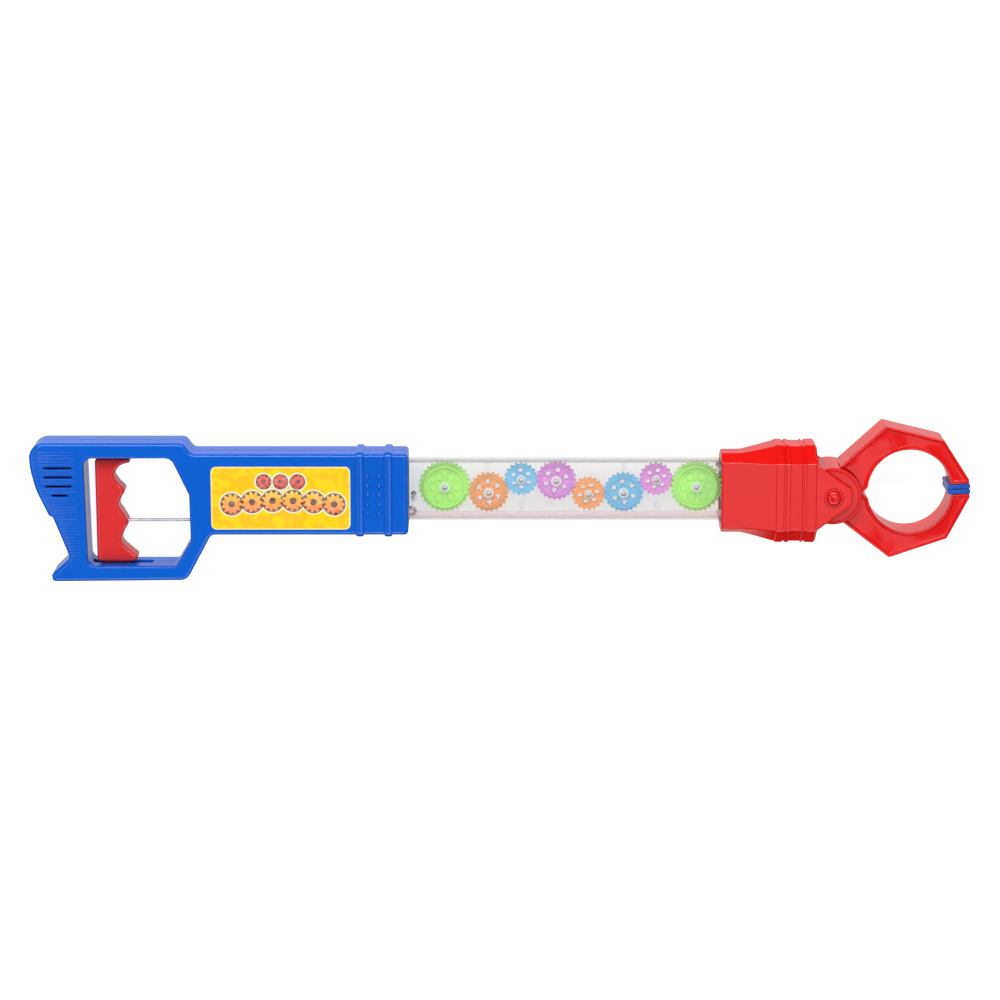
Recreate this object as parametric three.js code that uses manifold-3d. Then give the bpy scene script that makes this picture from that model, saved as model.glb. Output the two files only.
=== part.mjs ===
// Toy robot grabber arm: a D-shaped handle with a sliding trigger, a clear tube with a train of
// coloured gears, and a wrist that carries two hexagonal jaws. Millimetres, +Z up: the arm lies on
// its back, +X runs along the arm to the claw and +Y is the side where the knuckles are.
// Pulling the trigger towards -X draws a bar through the tube, which closes the jaws and turns the
// gears.
// All pieces are placed about the tube's axis, and the whole arm is then moved so that its origin is
// the middle of its footprint, at the height of the surface it lies on.
import * as THREE from "three";
import { mergeVertices } from "three/addons/utils/BufferGeometryUtils.js";
import Module from "manifold-3d";

const wasm = await Module();
wasm.setup();

// ---- Driving dimensions -----------------------------------------------------------------------

const GAP = 0.3; // between pieces that touch or slide on each other
const PAST = 1; // how far a cutter reaches past the face that it cuts
const ARC_STEP = THREE.MathUtils.degToRad(24); // one facet of a rounded corner
const SIDES = { fine: 28, round: 16, small: 8 }; // facets of round pieces

const TRAVEL = 9.3; // stroke of the trigger, the rods and the crosshead
const JAW_SWING = THREE.MathUtils.degToRad(35); // each jaw, from closed to open

// Handle, two half shells. Corners are [x, y, radius], counter-clockwise.
const HANDLE_DEPTH = 30;
const HANDLE_EDGE = 2.2;
const HANDLE_WALL = 2.4;
const BARREL_TOP = 24.9;
const BARREL_END = -55.3;
const HANDLE_CORNERS = [
  [-190.9, 31.5, 5],
  [-284.3, 31.5, 9],
  [-284.1, 17, 40],
  [-280.6, 3, 40],
  [-272.9, -13.2, 2.6],
  [-270.6, -14.1, 1],
  [-260.7, -39.2, 3],
  [-272, -49.4, 2.6],
  [-271.6, -53.9, 2.4],
  [-189.8, -53.1, 7],
  [-174.8, -BARREL_TOP, 4],
  [BARREL_END, -BARREL_TOP, 2.4],
  [BARREL_END, BARREL_TOP, 2.4],
  [-186, BARREL_TOP, 4],
];
const OPENING_CEILING = 22.1;
const OPENING_FLOOR = -44.2;
const OPENING_CORNERS = [
  [-198.6, OPENING_CEILING, 6],
  [-251.3, OPENING_CEILING, 5],
  [-249.6, OPENING_FLOOR, 5],
  [-196.4, OPENING_FLOOR, 3],
  [-187.3, -28.6, 2],
  [-187.9, -0.3, 2],
];
const TRIGGER_SLOT = { x: [-249.4, -211.4], halfDepth: 4.2 };
const TUBE_STOP = { gap: 1, window: [-20, 13] }; // wall behind the tube's end, open in the middle
const ROD_HOLE = { x: [-190, -183], half: 2 };
const VENT_HEIGHT = 1.4;
const VENTS = [ // through the front wall only
  { y: 16.4, x: [-275.4, -258.3] },
  { y: 10.8, x: [-275.4, -258.3] },
  { y: 5.2, x: [-274.8, -258.5] },
  { y: -0.4, x: [-270.8, -261] },
];
const HANDLE_SCREWS = [
  [-266, 23.6],
  [-257.5, -47],
  [-201.5, -48.6],
  [-192.6, 20],
  [-150, 15.5],
  [-92, 15.5],
];
const LABEL = { x: [-174.5, -90.2], y: [-21.3, 17.4], corner: 3.3, thickness: 0.3, lift: 0.05 };

// Trigger, with its finger curve from the top hook down to the bottom hook.
const TRIGGER_DEPTH = 16;
const TRIGGER_EDGE = 1.2;
const TRIGGER_TOP = 20.9;
const TRIGGER_BOTTOM = -42.8;
const TRIGGER_BACK = { top: -245.2, bottom: -244.8, corner: 2 };
const TRIGGER_STEPS = 26; // facets of the finger curve
const TRIGGER_FINGERS = [
  [-222.4, -42.6],
  [-220.4, -39.2],
  [-223.9, -36.5],
  [-229.7, -30.5],
  [-228.3, -24.2],
  [-225.6, -18.8],
  [-228.5, -12.8],
  [-231.2, -8],
  [-229.6, -3.4],
  [-227.5, 1.4],
  [-231.5, 6.1],
  [-233.7, 11],
  [-229.9, 16.4],
  [-224.2, 18.4],
];
const TONGUE = { x: [-242, -226], reach: 4.8, halfDepth: 3.7, corner: 1 };

// Steel trigger rod: through the handle's opening, along the barrel, then up into the tube.
const ROD_RADIUS = 1;
const ROD_Y = -18.3;
const ROD_START = -236;
const ROD_STEP = { x: [-98, -88], y: -15.2 };
const HOOK = { x: -53.6, y: -13, radius: 2.2, start: -1.5, angles: [-75, -35, 5, 45, 85, 125] };
const COLLAR = { x: [-151.5, -149.5], radius: 3.8 };
const SPRING = { x: [-184.4, -152], radius: 3.3, wire: 0.45, turns: 7, stepsPerTurn: 7, sides: 4 };

// Clear tube, two half shells.
const TUBE_X = [-75, 157];
const TUBE_HALF_HEIGHT = 18.35;
const TUBE_HALF_DEPTH = 12.5;
const TUBE_WALL = 1.4;
const TUBE_POSTS = [
  [-7.9, 14.4],
  [75.8, 14.2],
  [13.4, -10.2],
  [95.8, -10.2],
];
const POST_RADIUS = 1.6;
const TUBE_SCREWS = [
  [-52.6, -4.4],
  [133.6, 13.9],
];
const TUBE_SCREW = { shank: 0.8, hole: 1.1, head: 1.7, headDepth: 1, top: 8, boss: 2.2 };
const POST_SINK = 0.2; // how far a post starts inside the wall that carries it

// Gear train. Each gear stands at the stated angle from the one before it.
const MODULE = 1.02;
const ADDENDUM = 0.45;
const DEDENDUM = 0.8;
const TOOTH_TIP = 0.42; // half widths of a tooth
const TOOTH_ROOT = 0.95;
const GEAR_Z = [-10.5, -6.5];
const GEAR_BORE = 1.8;
const AXLE = { radius: 1.5, above: 0.8, capRadius: 2.2, capGap: 1.1 };
const HUB_TOP = -4.2;
const FIRST_GEAR = [-33.5, 0.9];
const STAR_HOLES = { count: 6, at: 6.4, outer: 2.3, inner: 1.3, points: 5 };
const ROUND_HOLES = { count: 6, at: 5.2, outer: 1.5, inner: 1.5, points: 3 };
const GREEN = { teeth: 30, hub: 3, rim: { outer: 13.2, inner: 12, top: -4.6, sink: 1 } };
const MEDIUM = { teeth: 23, hub: 3.2, holes: STAR_HOLES };
const SMALL = { teeth: 19, hub: 2.7, holes: ROUND_HOLES };
const TRAIN = [
  { name: "green_gear_1", kind: GREEN, bearing: 0, colour: "lime" },
  { name: "orange_gear_1", kind: MEDIUM, bearing: -7.6, colour: "orange" },
  { name: "blue_gear_1", kind: SMALL, bearing: 22.6, colour: "sky" },
  { name: "violet_gear_1", kind: MEDIUM, bearing: -2.6, colour: "violet" },
  { name: "orange_gear_2", kind: SMALL, bearing: -22.5, colour: "orange" },
  { name: "blue_gear_2", kind: MEDIUM, bearing: 2.4, colour: "sky" },
  { name: "violet_gear_2", kind: SMALL, bearing: 22.5, colour: "violet" },
  { name: "green_gear_2", kind: GREEN, bearing: -10.5, colour: "lime" },
  { name: "drive_pinion", kind: { teeth: 20, hub: 2.7 }, bearing: -10, colour: "white" },
];

// Pull bar of clear plastic, and the crosshead that it draws along the wrist.
const BAR = { x: [-57, 163], y: [-16.4, -12.5], z: [1.6, 4.4] };
const BAR_HEAD = { x: [163, 166], y: [-16.4, -10.5] };
const BAR_EYE = { half: 3, top: 2.4, corner: 1 }; // round the pin that the rod hooks on
const BAR_PIN = { radius: 0.9, bottom: -1.6 };
const RACK = { x: [132.5, 159], floor: -16.6, overlap: 1 };
const CROSSHEAD = {
  web: [159.5, 168],
  top: 8,
  cheek: [5.6, 8.1],
  halfWidth: 4.2,
  corner: 4,
};
const CROSSHEAD_FOOT = [
  { x: [159.5, 164], y: [-16.6, -7], z: [-10.5, 8.1] },
  { x: [159.5, 167.6], y: [-16.6, -9.6], z: [-0.4, 8.1] },
];
const FOOT_OPENING = 9; // below the bar, so that the bar drops into the foot
const CROSS_PIN_RADIUS = 1.5;
const CROSS_PIN_HOLE = 1.6;

// Wrist, two half shells of an eight-sided section. Each section is its x, its half height and half
// depth, and then half the width of its front flat and of its top flat.
const WRIST_WALL = 2.2;
const WRIST_SECTIONS = [
  [134, 24.4, 17, 20.2, 7.5],
  [146, 24.4, 17, 20.2, 7.5],
  [165.8, 29.2, 24.2, 20.3, 10.7],
  [191.6, 29.3, 24.4, 20.3, 10.8],
];
const WRIST_BANDS = [
  [166.5, 171.4],
  [172.3, 175.2],
  [181.9, 183.4],
  [184.6, 190.7],
];
const BAND_HEIGHT = 0.6;
const WRIST_BOSS = { radius: 2.5, footTop: -17 }; // the foot is as wide as the handle's bosses
const WRIST_BACK_AT = 170; // where the wrist's depth sets how deep its screws sit
const WRIST_SCREWS = [
  [168, 19.4],
  [168, -19.4],
  [187.6, 17.6],
  [187.6, -17.6],
];
const GUIDE_RIB = { x: [158.5, 182], halfWidth: 4, foot: 8.4 };
const EAR_Z = [21, 24.3];
const EAR_CORNERS = [
  [186, -20],
  [191.6, -20],
  [196.3, -16.4, 1],
  [211.9, -4.6, 1.5],
  [212.1, 5.2, 1.5],
  [192.4, 19.3, 1],
  [186, 19.6],
];
const EAR_BOSS = { radius: 6, top: 25 };

// Claw. Finger corners are [x, y, radius] from the pivot, along the closed claw's own axis.
const PIVOT = new THREE.Vector2(201.2, 0);
const PIN_RADIUS = 2.5;
const PIN_HEAD = { radius: 4.3, shoulder: 23.1 };
const PIN_CROWN = [
  [4.3, 25.5],
  [3.4, 26.6],
  [1.7, 27.1],
];
const CLAW_TILT = THREE.MathUtils.degToRad(2.5);
const HUB_RADIUS = 17.4;
const HUB_ROOM = 18.2; // the other jaw's clearance round a hub
const HUB_MIDDLE = 0.2; // where a hub starts, from the plane between the two jaws
const HUB_STEP = { radius: 15.4, from: 19.4, top: 20.2 };
const TAIL_Z = [0.3, 5.2];
const CHEEK_ROOM = { top: 8.6, inner: 9.3, outer: 20.4, from: 115, to: 200, steps: 6 };
const CAM_STEPS = 8;
const FINGER_HALF_DEPTH = 14;
const FINGER_EDGE = 0.5;
const MOUTH = { x: 46.7, radius: 25.4, notch: 3.5, steps: 14 };
const TIP_FACE = 3.2;
const NECK = 18.6;
const FINGER_OUTSIDE = [
  [82.9, TIP_FACE],
  [82.9, 5.6],
  [68.5, 30.2, 2],
  [33.2, 40.5, 2.4],
  [4.9, 16.7],
  [3, 9],
  [12, GAP],
];
const PAD = { x: [69.6, 83.4], y: [0.25, 2.9], halfDepth: 14.2 };
const PAD_TONGUE = { x: [74.5, 80], y: [2.4, 7], halfDepth: 9 };
const PIN_CLOSED = 24; // from the pivot to the cross pin, on the arm's axis
const SLOT_HALF = CROSS_PIN_RADIUS + GAP;
const TAIL_HALF = SLOT_HALF + 2.4;

// Pan head screws, driven in from the back until their points are at one height in the front half.
const SCREW = {
  shank: 1.2,
  head: 2.6,
  headDepth: 2.2,
  sunk: 1,
  hole: 1.5,
  recess: 3,
  boss: 4.2,
  point: 8,
};

const material = (colour, roughness, metalness = 0) =>
  new THREE.MeshStandardMaterial({ color: colour, roughness, metalness });
const PAINT = {
  blue: () => material(0x0a5fd6, 0.3),
  red: () => material(0xe8352c, 0.25),
  yellow: () => material(0xffd500, 0.4),
  clear: () => material(0xeae8e6, 0.1),
  white: () => material(0xf2f2f0, 0.4),
  lime: () => material(0x96f06e, 0.3),
  orange: () => material(0xff9c52, 0.3),
  sky: () => material(0x66bfea, 0.3),
  violet: () => material(0xd98be0, 0.3),
  steel: () => material(0xb8bcc0, 0.3, 1),
};

// ---- Outlines ---------------------------------------------------------------------------------

// Points of a closed outline with its corners rounded. A corner is [x, y] or [x, y, radius].
function outline(corners) {
  return corners.flatMap(([x, y, radius], i) => {
    const here = new THREE.Vector2(x, y);
    if (!radius) return [here];
    const before = corners.at(i - 1);
    const after = corners[(i + 1) % corners.length];
    const back = new THREE.Vector2(before[0], before[1]).sub(here).normalize();
    const ahead = new THREE.Vector2(after[0], after[1]).sub(here).normalize();
    const half = Math.acos(back.dot(ahead)) / 2;
    const middle = back.clone().add(ahead).setLength(radius / Math.sin(half)).add(here);
    const from = back.setLength(radius / Math.tan(half)).add(here).sub(middle);
    const to = ahead.setLength(radius / Math.tan(half)).add(here).sub(middle);
    const turn = Math.atan2(from.cross(to), from.dot(to));
    const steps = Math.max(1, Math.ceil(Math.abs(turn) / ARC_STEP));
    return Array.from({ length: steps + 1 }, (_, k) =>
      from.clone().rotateAround(new THREE.Vector2(), (turn * k) / steps).add(middle),
    );
  });
}

// The same corners, with every side of a counter-clockwise outline moved inwards.
function shrunk(corners, distance) {
  return corners.map(([x, y, radius = 0], i) => {
    const here = new THREE.Vector2(x, y);
    const before = corners.at(i - 1);
    const after = corners[(i + 1) % corners.length];
    const arrive = here.clone().sub(new THREE.Vector2(before[0], before[1])).normalize();
    const leave = new THREE.Vector2(after[0], after[1]).sub(here).normalize();
    const turn = arrive.cross(leave);
    const slide = (1 - arrive.dot(leave)) / turn;
    const moved = here
      .add(new THREE.Vector2(-arrive.y, arrive.x).multiplyScalar(distance))
      .add(arrive.clone().multiplyScalar(-distance * slide));
    return [moved.x, moved.y, Math.max(radius - Math.sign(turn) * distance, 0)];
  });
}

function rectangle([x0, x1], [y0, y1], corner = 0) {
  return outline([
    [x0, y0, corner],
    [x1, y0, corner],
    [x1, y1, corner],
    [x0, y1, corner],
  ]);
}

// A strip of constant width with round ends, along a path of points.
function ribbon(path, halfWidth) {
  const heading = (i) => {
    const from = path[Math.max(i - 1, 0)];
    return path[Math.min(i + 1, path.length - 1)].clone().sub(from).angle();
  };
  const beside = (i, angle) =>
    new THREE.Vector2(halfWidth, 0).rotateAround(new THREE.Vector2(), heading(i) + angle).add(path[i]);
  const quarter = Math.PI / 2;
  const capAngles = [-1, -0.5, 0, 0.5, 1].map((k) => k * quarter);
  const last = path.length - 1;
  const right = path.slice(1, -1).map((_, k) => beside(k + 1, -quarter));
  const left = path.slice(1, -1).map((_, k) => beside(k + 1, quarter));
  return [
    ...capAngles.map((a) => beside(0, a + Math.PI)),
    ...right,
    ...capAngles.map((a) => beside(last, a)),
    ...left.reverse(),
  ];
}

const mirroredInY = (points) => points.map((p) => new THREE.Vector2(p.x, -p.y)).reverse();

// ---- Solids -----------------------------------------------------------------------------------

function solid(geometry) {
  const bare = geometry.index ? geometry.toNonIndexed() : geometry.clone();
  bare.deleteAttribute("normal");
  bare.deleteAttribute("uv");
  const merged = mergeVertices(bare, 1e-4);
  return new wasm.Manifold(
    new wasm.Mesh({
      numProp: 3,
      vertProperties: merged.attributes.position.array,
      triVerts: new Uint32Array(merged.index.array),
    }),
  );
}

// An outline raised from one height to another, with rounded edges if an edge radius is given.
function slab(points, [z0, z1], edge = 0) {
  const geometry = new THREE.ExtrudeGeometry(new THREE.Shape(points), {
    depth: z1 - z0 - 2 * edge,
    bevelEnabled: edge > 0,
    bevelThickness: edge,
    bevelSize: edge,
    bevelOffset: -edge,
    bevelSegments: 1,
    curveSegments: 1,
  });
  return solid(geometry.translate(0, 0, z0 + edge));
}

function disc([x, y], radius, [z0, z1], sides = SIDES.round) {
  const geometry = new THREE.CylinderGeometry(radius, radius, z1 - z0, sides);
  return solid(geometry.rotateX(Math.PI / 2).translate(x, y, (z0 + z1) / 2));
}

function box([x0, x1], [y0, y1], [z0, z1]) {
  const geometry = new THREE.BoxGeometry(x1 - x0, y1 - y0, z1 - z0);
  return solid(geometry.translate((x0 + x1) / 2, (y0 + y1) / 2, (z0 + z1) / 2));
}

// A closed body through rings of points, each ring counter-clockwise seen from +X.
function loft(rings) {
  const count = rings[0].length;
  const positions = rings.flat().flatMap((p) => [p.x, p.y, p.z]);
  const indices = [];
  const at = (ring, i) => ring * count + (i % count);
  for (let ring = 0; ring + 1 < rings.length; ring++) {
    for (let i = 0; i < count; i++) {
      indices.push(at(ring, i), at(ring, i + 1), at(ring + 1, i + 1));
      indices.push(at(ring, i), at(ring + 1, i + 1), at(ring + 1, i));
    }
  }
  const end = rings.length - 1;
  for (let i = 1; i + 1 < count; i++) {
    indices.push(at(0, 0), at(0, i + 1), at(0, i));
    indices.push(at(end, 0), at(end, i), at(end, i + 1));
  }
  const geometry = new THREE.BufferGeometry();
  geometry.setAttribute("position", new THREE.Float32BufferAttribute(positions, 3));
  geometry.setIndex(indices);
  return solid(geometry);
}

const join = (solids) => solids.reduce((whole, piece) => whole.add(piece));
const cut = (body, tools) => tools.reduce((left, tool) => left.subtract(tool), body);

const FAR = 400;
const frontHalf = () => box([-FAR, FAR], [-FAR, FAR], [GAP / 2, FAR]);
const backHalf = () => box([-FAR, FAR], [-FAR, FAR], [-FAR, -GAP / 2]);

function piece(name, body, paint) {
  const raw = body.getMesh();
  const geometry = new THREE.BufferGeometry();
  geometry.setAttribute("position", new THREE.Float32BufferAttribute(raw.vertProperties, 3));
  geometry.setIndex(new THREE.BufferAttribute(new Uint32Array(raw.triVerts), 1));
  geometry.computeVertexNormals();
  const mesh = new THREE.Mesh(geometry, paint());
  mesh.name = name;
  return mesh;
}

// ---- Screws and their bosses ------------------------------------------------------------------

// A screw that starts in a recess of a back face at z = back and reaches into the front half.
function screw(name, [x, y], back) {
  const { shank, head, headDepth, sunk, point } = SCREW;
  const seat = back + headDepth + sunk;
  const profile = [
    [0, seat - headDepth],
    [head, seat - headDepth / 2],
    [head, seat],
    [shank, seat],
    [0, point],
  ].map(([radius, z]) => new THREE.Vector2(radius, z));
  const geometry = new THREE.LatheGeometry(profile, SIDES.small).rotateX(Math.PI / 2);
  return piece(name, solid(geometry.translate(x, y, 0)), PAINT.steel);
}

// What a screw needs in the back half: a recess for its head and a hole for its shank.
function screwRoom([x, y], back) {
  const seat = back + SCREW.headDepth + SCREW.sunk + GAP;
  return disc([x, y], SCREW.recess, [back - PAST, seat], SIDES.small).add(
    disc([x, y], SCREW.hole, [back, SCREW.point + GAP], SIDES.small),
  );
}

// ---- Handle -----------------------------------------------------------------------------------

function handleShells() {
  const deep = HANDLE_DEPTH / 2;
  const inner = deep - HANDLE_WALL;
  const outer = cut(slab(outline(HANDLE_CORNERS), [-deep, deep], HANDLE_EDGE), [
    slab(outline(OPENING_CORNERS), [-deep - PAST, deep + PAST]),
  ]);
  const seatX = TUBE_X[0] - TUBE_STOP.gap;
  const socket = [TUBE_HALF_HEIGHT + GAP, TUBE_HALF_DEPTH + GAP];
  const cavity = cut(slab(outline(shrunk(HANDLE_CORNERS, HANDLE_WALL)), [-inner, inner]), [
    slab(outline(shrunk(OPENING_CORNERS, -HANDLE_WALL)), [-deep, deep]),
    box([seatX - HANDLE_WALL, 0], [-FAR, FAR], [-deep, deep]),
  ]);
  const bosses = HANDLE_SCREWS.map((at) => disc(at, SCREW.boss, [-inner, inner], SIDES.small));
  const slotDepth = [-TRIGGER_SLOT.halfDepth, TRIGGER_SLOT.halfDepth];
  const body = cut(outer, [
    cut(cavity, bosses),
    box([seatX, 0], [-socket[0], socket[0]], [-socket[1], socket[1]]),
    box([seatX - HANDLE_WALL - PAST, seatX + PAST], TUBE_STOP.window, [-inner, inner]),
    box(TRIGGER_SLOT.x, [OPENING_FLOOR - HANDLE_WALL - PAST, OPENING_FLOOR + PAST], slotDepth),
    box(TRIGGER_SLOT.x, [OPENING_CEILING - PAST, OPENING_CEILING + HANDLE_WALL + PAST], slotDepth),
    box(ROD_HOLE.x, [ROD_Y - ROD_HOLE.half, ROD_Y + ROD_HOLE.half], [-ROD_HOLE.half, ROD_HOLE.half]),
    ...VENTS.map(({ x, y }) =>
      box(x, [y - VENT_HEIGHT / 2, y + VENT_HEIGHT / 2], [inner - PAST, deep + PAST]),
    ),
    ...HANDLE_SCREWS.map((at) => screwRoom(at, -deep)),
  ]);
  return [
    piece("handle_front_shell", body.intersect(frontHalf()), PAINT.blue),
    piece("handle_rear_shell", body.intersect(backHalf()), PAINT.blue),
    ...HANDLE_SCREWS.map((at, i) => screw(`handle_screw_${i + 1}`, at, -deep)),
  ];
}

function label() {
  const face = HANDLE_DEPTH / 2 + LABEL.lift;
  const points = rectangle(LABEL.x, LABEL.y, LABEL.corner);
  return piece("front_label", slab(points, [face, face + LABEL.thickness]), PAINT.yellow);
}

function trigger() {
  const deep = TRIGGER_DEPTH / 2;
  const fingers = new THREE.SplineCurve(TRIGGER_FINGERS.map(([x, y]) => new THREE.Vector2(x, y)));
  const points = [
    ...outline([
      [TRIGGER_FINGERS.at(-1)[0], TRIGGER_TOP],
      [TRIGGER_BACK.top, TRIGGER_TOP, TRIGGER_BACK.corner],
      [TRIGGER_BACK.bottom, TRIGGER_BOTTOM, TRIGGER_BACK.corner],
      [TRIGGER_FINGERS[0][0], TRIGGER_BOTTOM],
    ]),
    ...fingers.getPoints(TRIGGER_STEPS).slice(1),
  ];
  const { x, reach, halfDepth, corner } = TONGUE;
  const tongueY = [TRIGGER_BOTTOM - reach, TRIGGER_TOP + reach];
  const rodRoom = ROD_RADIUS + GAP;
  const body = slab(points, [-deep, deep], TRIGGER_EDGE)
    .add(slab(rectangle(x, tongueY, corner), [-halfDepth, halfDepth]))
    .subtract(box([ROD_START - GAP, 0], [ROD_Y - rodRoom, ROD_Y + rodRoom], [-rodRoom, rodRoom]));
  return piece("trigger", body, PAINT.red);
}

// ---- Rods and return spring -------------------------------------------------------------------

class HelixCurve extends THREE.Curve {
  constructor(x, radius, turns, centreY) {
    super();
    Object.assign(this, { x, radius, turns, centreY });
  }
  getPoint(t, target = new THREE.Vector3()) {
    const angle = t * this.turns * 2 * Math.PI;
    const x = this.x[0] + (this.x[1] - this.x[0]) * t;
    return target.set(x, this.centreY + this.radius * Math.cos(angle), this.radius * Math.sin(angle));
  }
}

// A curve that passes from point to point, with a station at each one.
class StationCurve extends THREE.Curve {
  constructor(points) {
    super();
    this.points = points;
  }
  getPoint(t, target = new THREE.Vector3()) {
    const place = THREE.MathUtils.clamp(t, 0, 1) * (this.points.length - 1);
    const before = Math.min(Math.floor(place), this.points.length - 2);
    return target.lerpVectors(this.points[before], this.points[before + 1], place - before);
  }
  getPointAt(t, target) {
    return this.getPoint(t, target);
  }
  getTangentAt(t, target) {
    return this.getTangent(t, target);
  }
}

// A round wire along a curve.
function wire(curve, radius, steps, sides) {
  const round = new THREE.EllipseCurve(0, 0, radius, radius);
  const section = new THREE.Shape(round.getPoints(sides).slice(1));
  return solid(new THREE.ExtrudeGeometry(section, { steps, extrudePath: curve, curveSegments: 1 }));
}

function triggerRod() {
  const straight = [
    [ROD_START, ROD_Y],
    [ROD_STEP.x[0], ROD_Y],
    [ROD_STEP.x[1], ROD_STEP.y],
    [HOOK.x + HOOK.start, ROD_STEP.y],
  ];
  const turns = HOOK.angles.map((degrees) => {
    const angle = THREE.MathUtils.degToRad(degrees);
    return [HOOK.x + HOOK.radius * Math.cos(angle), HOOK.y + HOOK.radius * Math.sin(angle)];
  });
  const route = [...straight, ...turns].map(([x, y]) => new THREE.Vector3(x, y, 0));
  const rod = wire(new StationCurve(route), ROD_RADIUS, route.length - 1, SIDES.small);
  const thickness = COLLAR.x[1] - COLLAR.x[0];
  const collar = new THREE.CylinderGeometry(COLLAR.radius, COLLAR.radius, thickness, SIDES.round);
  collar.rotateZ(Math.PI / 2).translate(COLLAR.x[0] + thickness / 2, ROD_Y, 0);
  return piece("trigger_rod", rod.add(solid(collar)), PAINT.steel);
}

function returnSpring() {
  const { x, radius, turns, stepsPerTurn, sides } = SPRING;
  const curve = new HelixCurve(x, radius, turns, ROD_Y);
  return piece("return_spring", wire(curve, SPRING.wire, turns * stepsPerTurn, sides), PAINT.steel);
}

function pullBar() {
  const eyeX = [HOOK.x - BAR_EYE.half, HOOK.x + BAR_EYE.half];
  const body = join([
    box(BAR.x, BAR.y, BAR.z),
    box(BAR_HEAD.x, BAR_HEAD.y, BAR.z),
    slab(rectangle(eyeX, [BAR.y[0], HOOK.y + BAR_EYE.top], BAR_EYE.corner), BAR.z),
    disc([HOOK.x, HOOK.y], BAR_PIN.radius, [BAR_PIN.bottom, BAR.z[0] + GAP], SIDES.small),
  ]);
  return piece("pull_bar", body, PAINT.clear);
}

// ---- Crosshead --------------------------------------------------------------------------------

function crosshead(pinion) {
  const { web, top, cheek, halfWidth, corner } = CROSSHEAD;
  const pinX = PIVOT.x - PIN_CLOSED;
  const cheekPoints = rectangle([web[0], pinX + halfWidth], [-halfWidth, halfWidth], corner);
  const barZ = [BAR.z[0] - GAP, FAR];
  const barY = ([low, high]) => [low - FOOT_OPENING, high + GAP];
  const headX = [BAR_HEAD.x[0] - GAP, BAR_HEAD.x[1] + GAP];
  const body = cut(
    join([
      box(web, [-top, top], [-cheek[1], cheek[1]]),
      ...CROSSHEAD_FOOT.map(({ x, y, z }) => box(x, y, z)),
      slab(cheekPoints, cheek),
      slab(cheekPoints, [-cheek[1], -cheek[0]]),
      rack(pinion),
    ]),
    [
      box([0, headX[0] + GAP], barY(BAR.y), barZ),
      box(headX, barY(BAR_HEAD.y), barZ),
      disc([pinX, 0], CROSS_PIN_HOLE, [-FAR, FAR]),
    ],
  );
  const pin = disc([pinX, 0], CROSS_PIN_RADIUS, [-cheek[1], cheek[1]]);
  return [piece("crosshead", body, PAINT.white), piece("cross_pin", pin, PAINT.steel)];
}

// A straight row of teeth under the pinion, in mesh with it.
function rack({ centre, radius, phase }) {
  const pitch = Math.PI * MODULE;
  const pitchLine = centre.y - radius;
  const tipY = pitchLine + ADDENDUM;
  const rootY = pitchLine - DEDENDUM;
  const gapCentre = centre.x + radius * (phase + Math.PI / 2);
  const first = Math.ceil((RACK.x[0] + TOOTH_ROOT - gapCentre) / pitch - 0.5);
  const last = Math.floor((RACK.x[1] - TOOTH_ROOT - gapCentre) / pitch - 0.5);
  const profile = [
    [RACK.x[1] + RACK.overlap, rootY],
    [RACK.x[1] + RACK.overlap, RACK.floor],
    [RACK.x[0], RACK.floor],
    [RACK.x[0], rootY],
  ].map(([x, y]) => new THREE.Vector2(x, y));
  const teeth = [];
  for (let k = first; k <= last; k++) {
    const x = gapCentre + (k + 0.5) * pitch;
    teeth.push(
      new THREE.Vector2(x - TOOTH_ROOT, rootY),
      new THREE.Vector2(x - TOOTH_TIP, tipY),
      new THREE.Vector2(x + TOOTH_TIP, tipY),
      new THREE.Vector2(x + TOOTH_ROOT, rootY),
    );
  }
  return slab([...profile, ...teeth].reverse(), GEAR_Z);
}

// ---- Gears ------------------------------------------------------------------------------------

// Centre, pitch radius and phase (the angle of one tooth) of each gear, each in mesh with the last.
function gearPlaces() {
  const places = [];
  for (const { kind, bearing } of TRAIN) {
    const radius = (kind.teeth * MODULE) / 2;
    const before = places.at(-1);
    if (!before) {
      places.push({ centre: new THREE.Vector2(...FIRST_GEAR), radius, phase: 0, teeth: kind.teeth });
      continue;
    }
    const angle = THREE.MathUtils.degToRad(bearing);
    const centre = new THREE.Vector2(before.radius + radius, 0)
      .rotateAround(new THREE.Vector2(), angle)
      .add(before.centre);
    const lead = Math.PI - before.teeth * (angle - before.phase);
    places.push({ centre, radius, phase: angle + Math.PI - lead / kind.teeth, teeth: kind.teeth });
  }
  return places;
}

function toothedOutline({ centre, radius, phase, teeth }) {
  const polar = (r, angle) =>
    new THREE.Vector2(r, 0).rotateAround(new THREE.Vector2(), angle).add(centre);
  return Array.from({ length: teeth }, (_, k) => {
    const middle = phase + (k * 2 * Math.PI) / teeth;
    const root = radius - DEDENDUM;
    const tip = radius + ADDENDUM;
    return [
      polar(root, middle - TOOTH_ROOT / root),
      polar(tip, middle - TOOTH_TIP / tip),
      polar(tip, middle + TOOTH_TIP / tip),
      polar(root, middle + TOOTH_ROOT / root),
    ];
  }).flat();
}

// The see-through holes of a gear: stars where the two radii differ, round holes where they don't.
function gearHoles({ count, at, outer, inner, points }, { centre, phase }) {
  return Array.from({ length: count }, (_, k) => {
    const angle = phase + (k * 2 * Math.PI) / count;
    const middle = new THREE.Vector2(at, 0).rotateAround(new THREE.Vector2(), angle).add(centre);
    const rim = Array.from({ length: points * 2 }, (_, i) =>
      new THREE.Vector2(i % 2 ? inner : outer, 0)
        .rotateAround(new THREE.Vector2(), angle + (i * Math.PI) / points)
        .add(middle),
    );
    return slab(rim, [GEAR_Z[0] - PAST, HUB_TOP + PAST]);
  });
}

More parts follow.
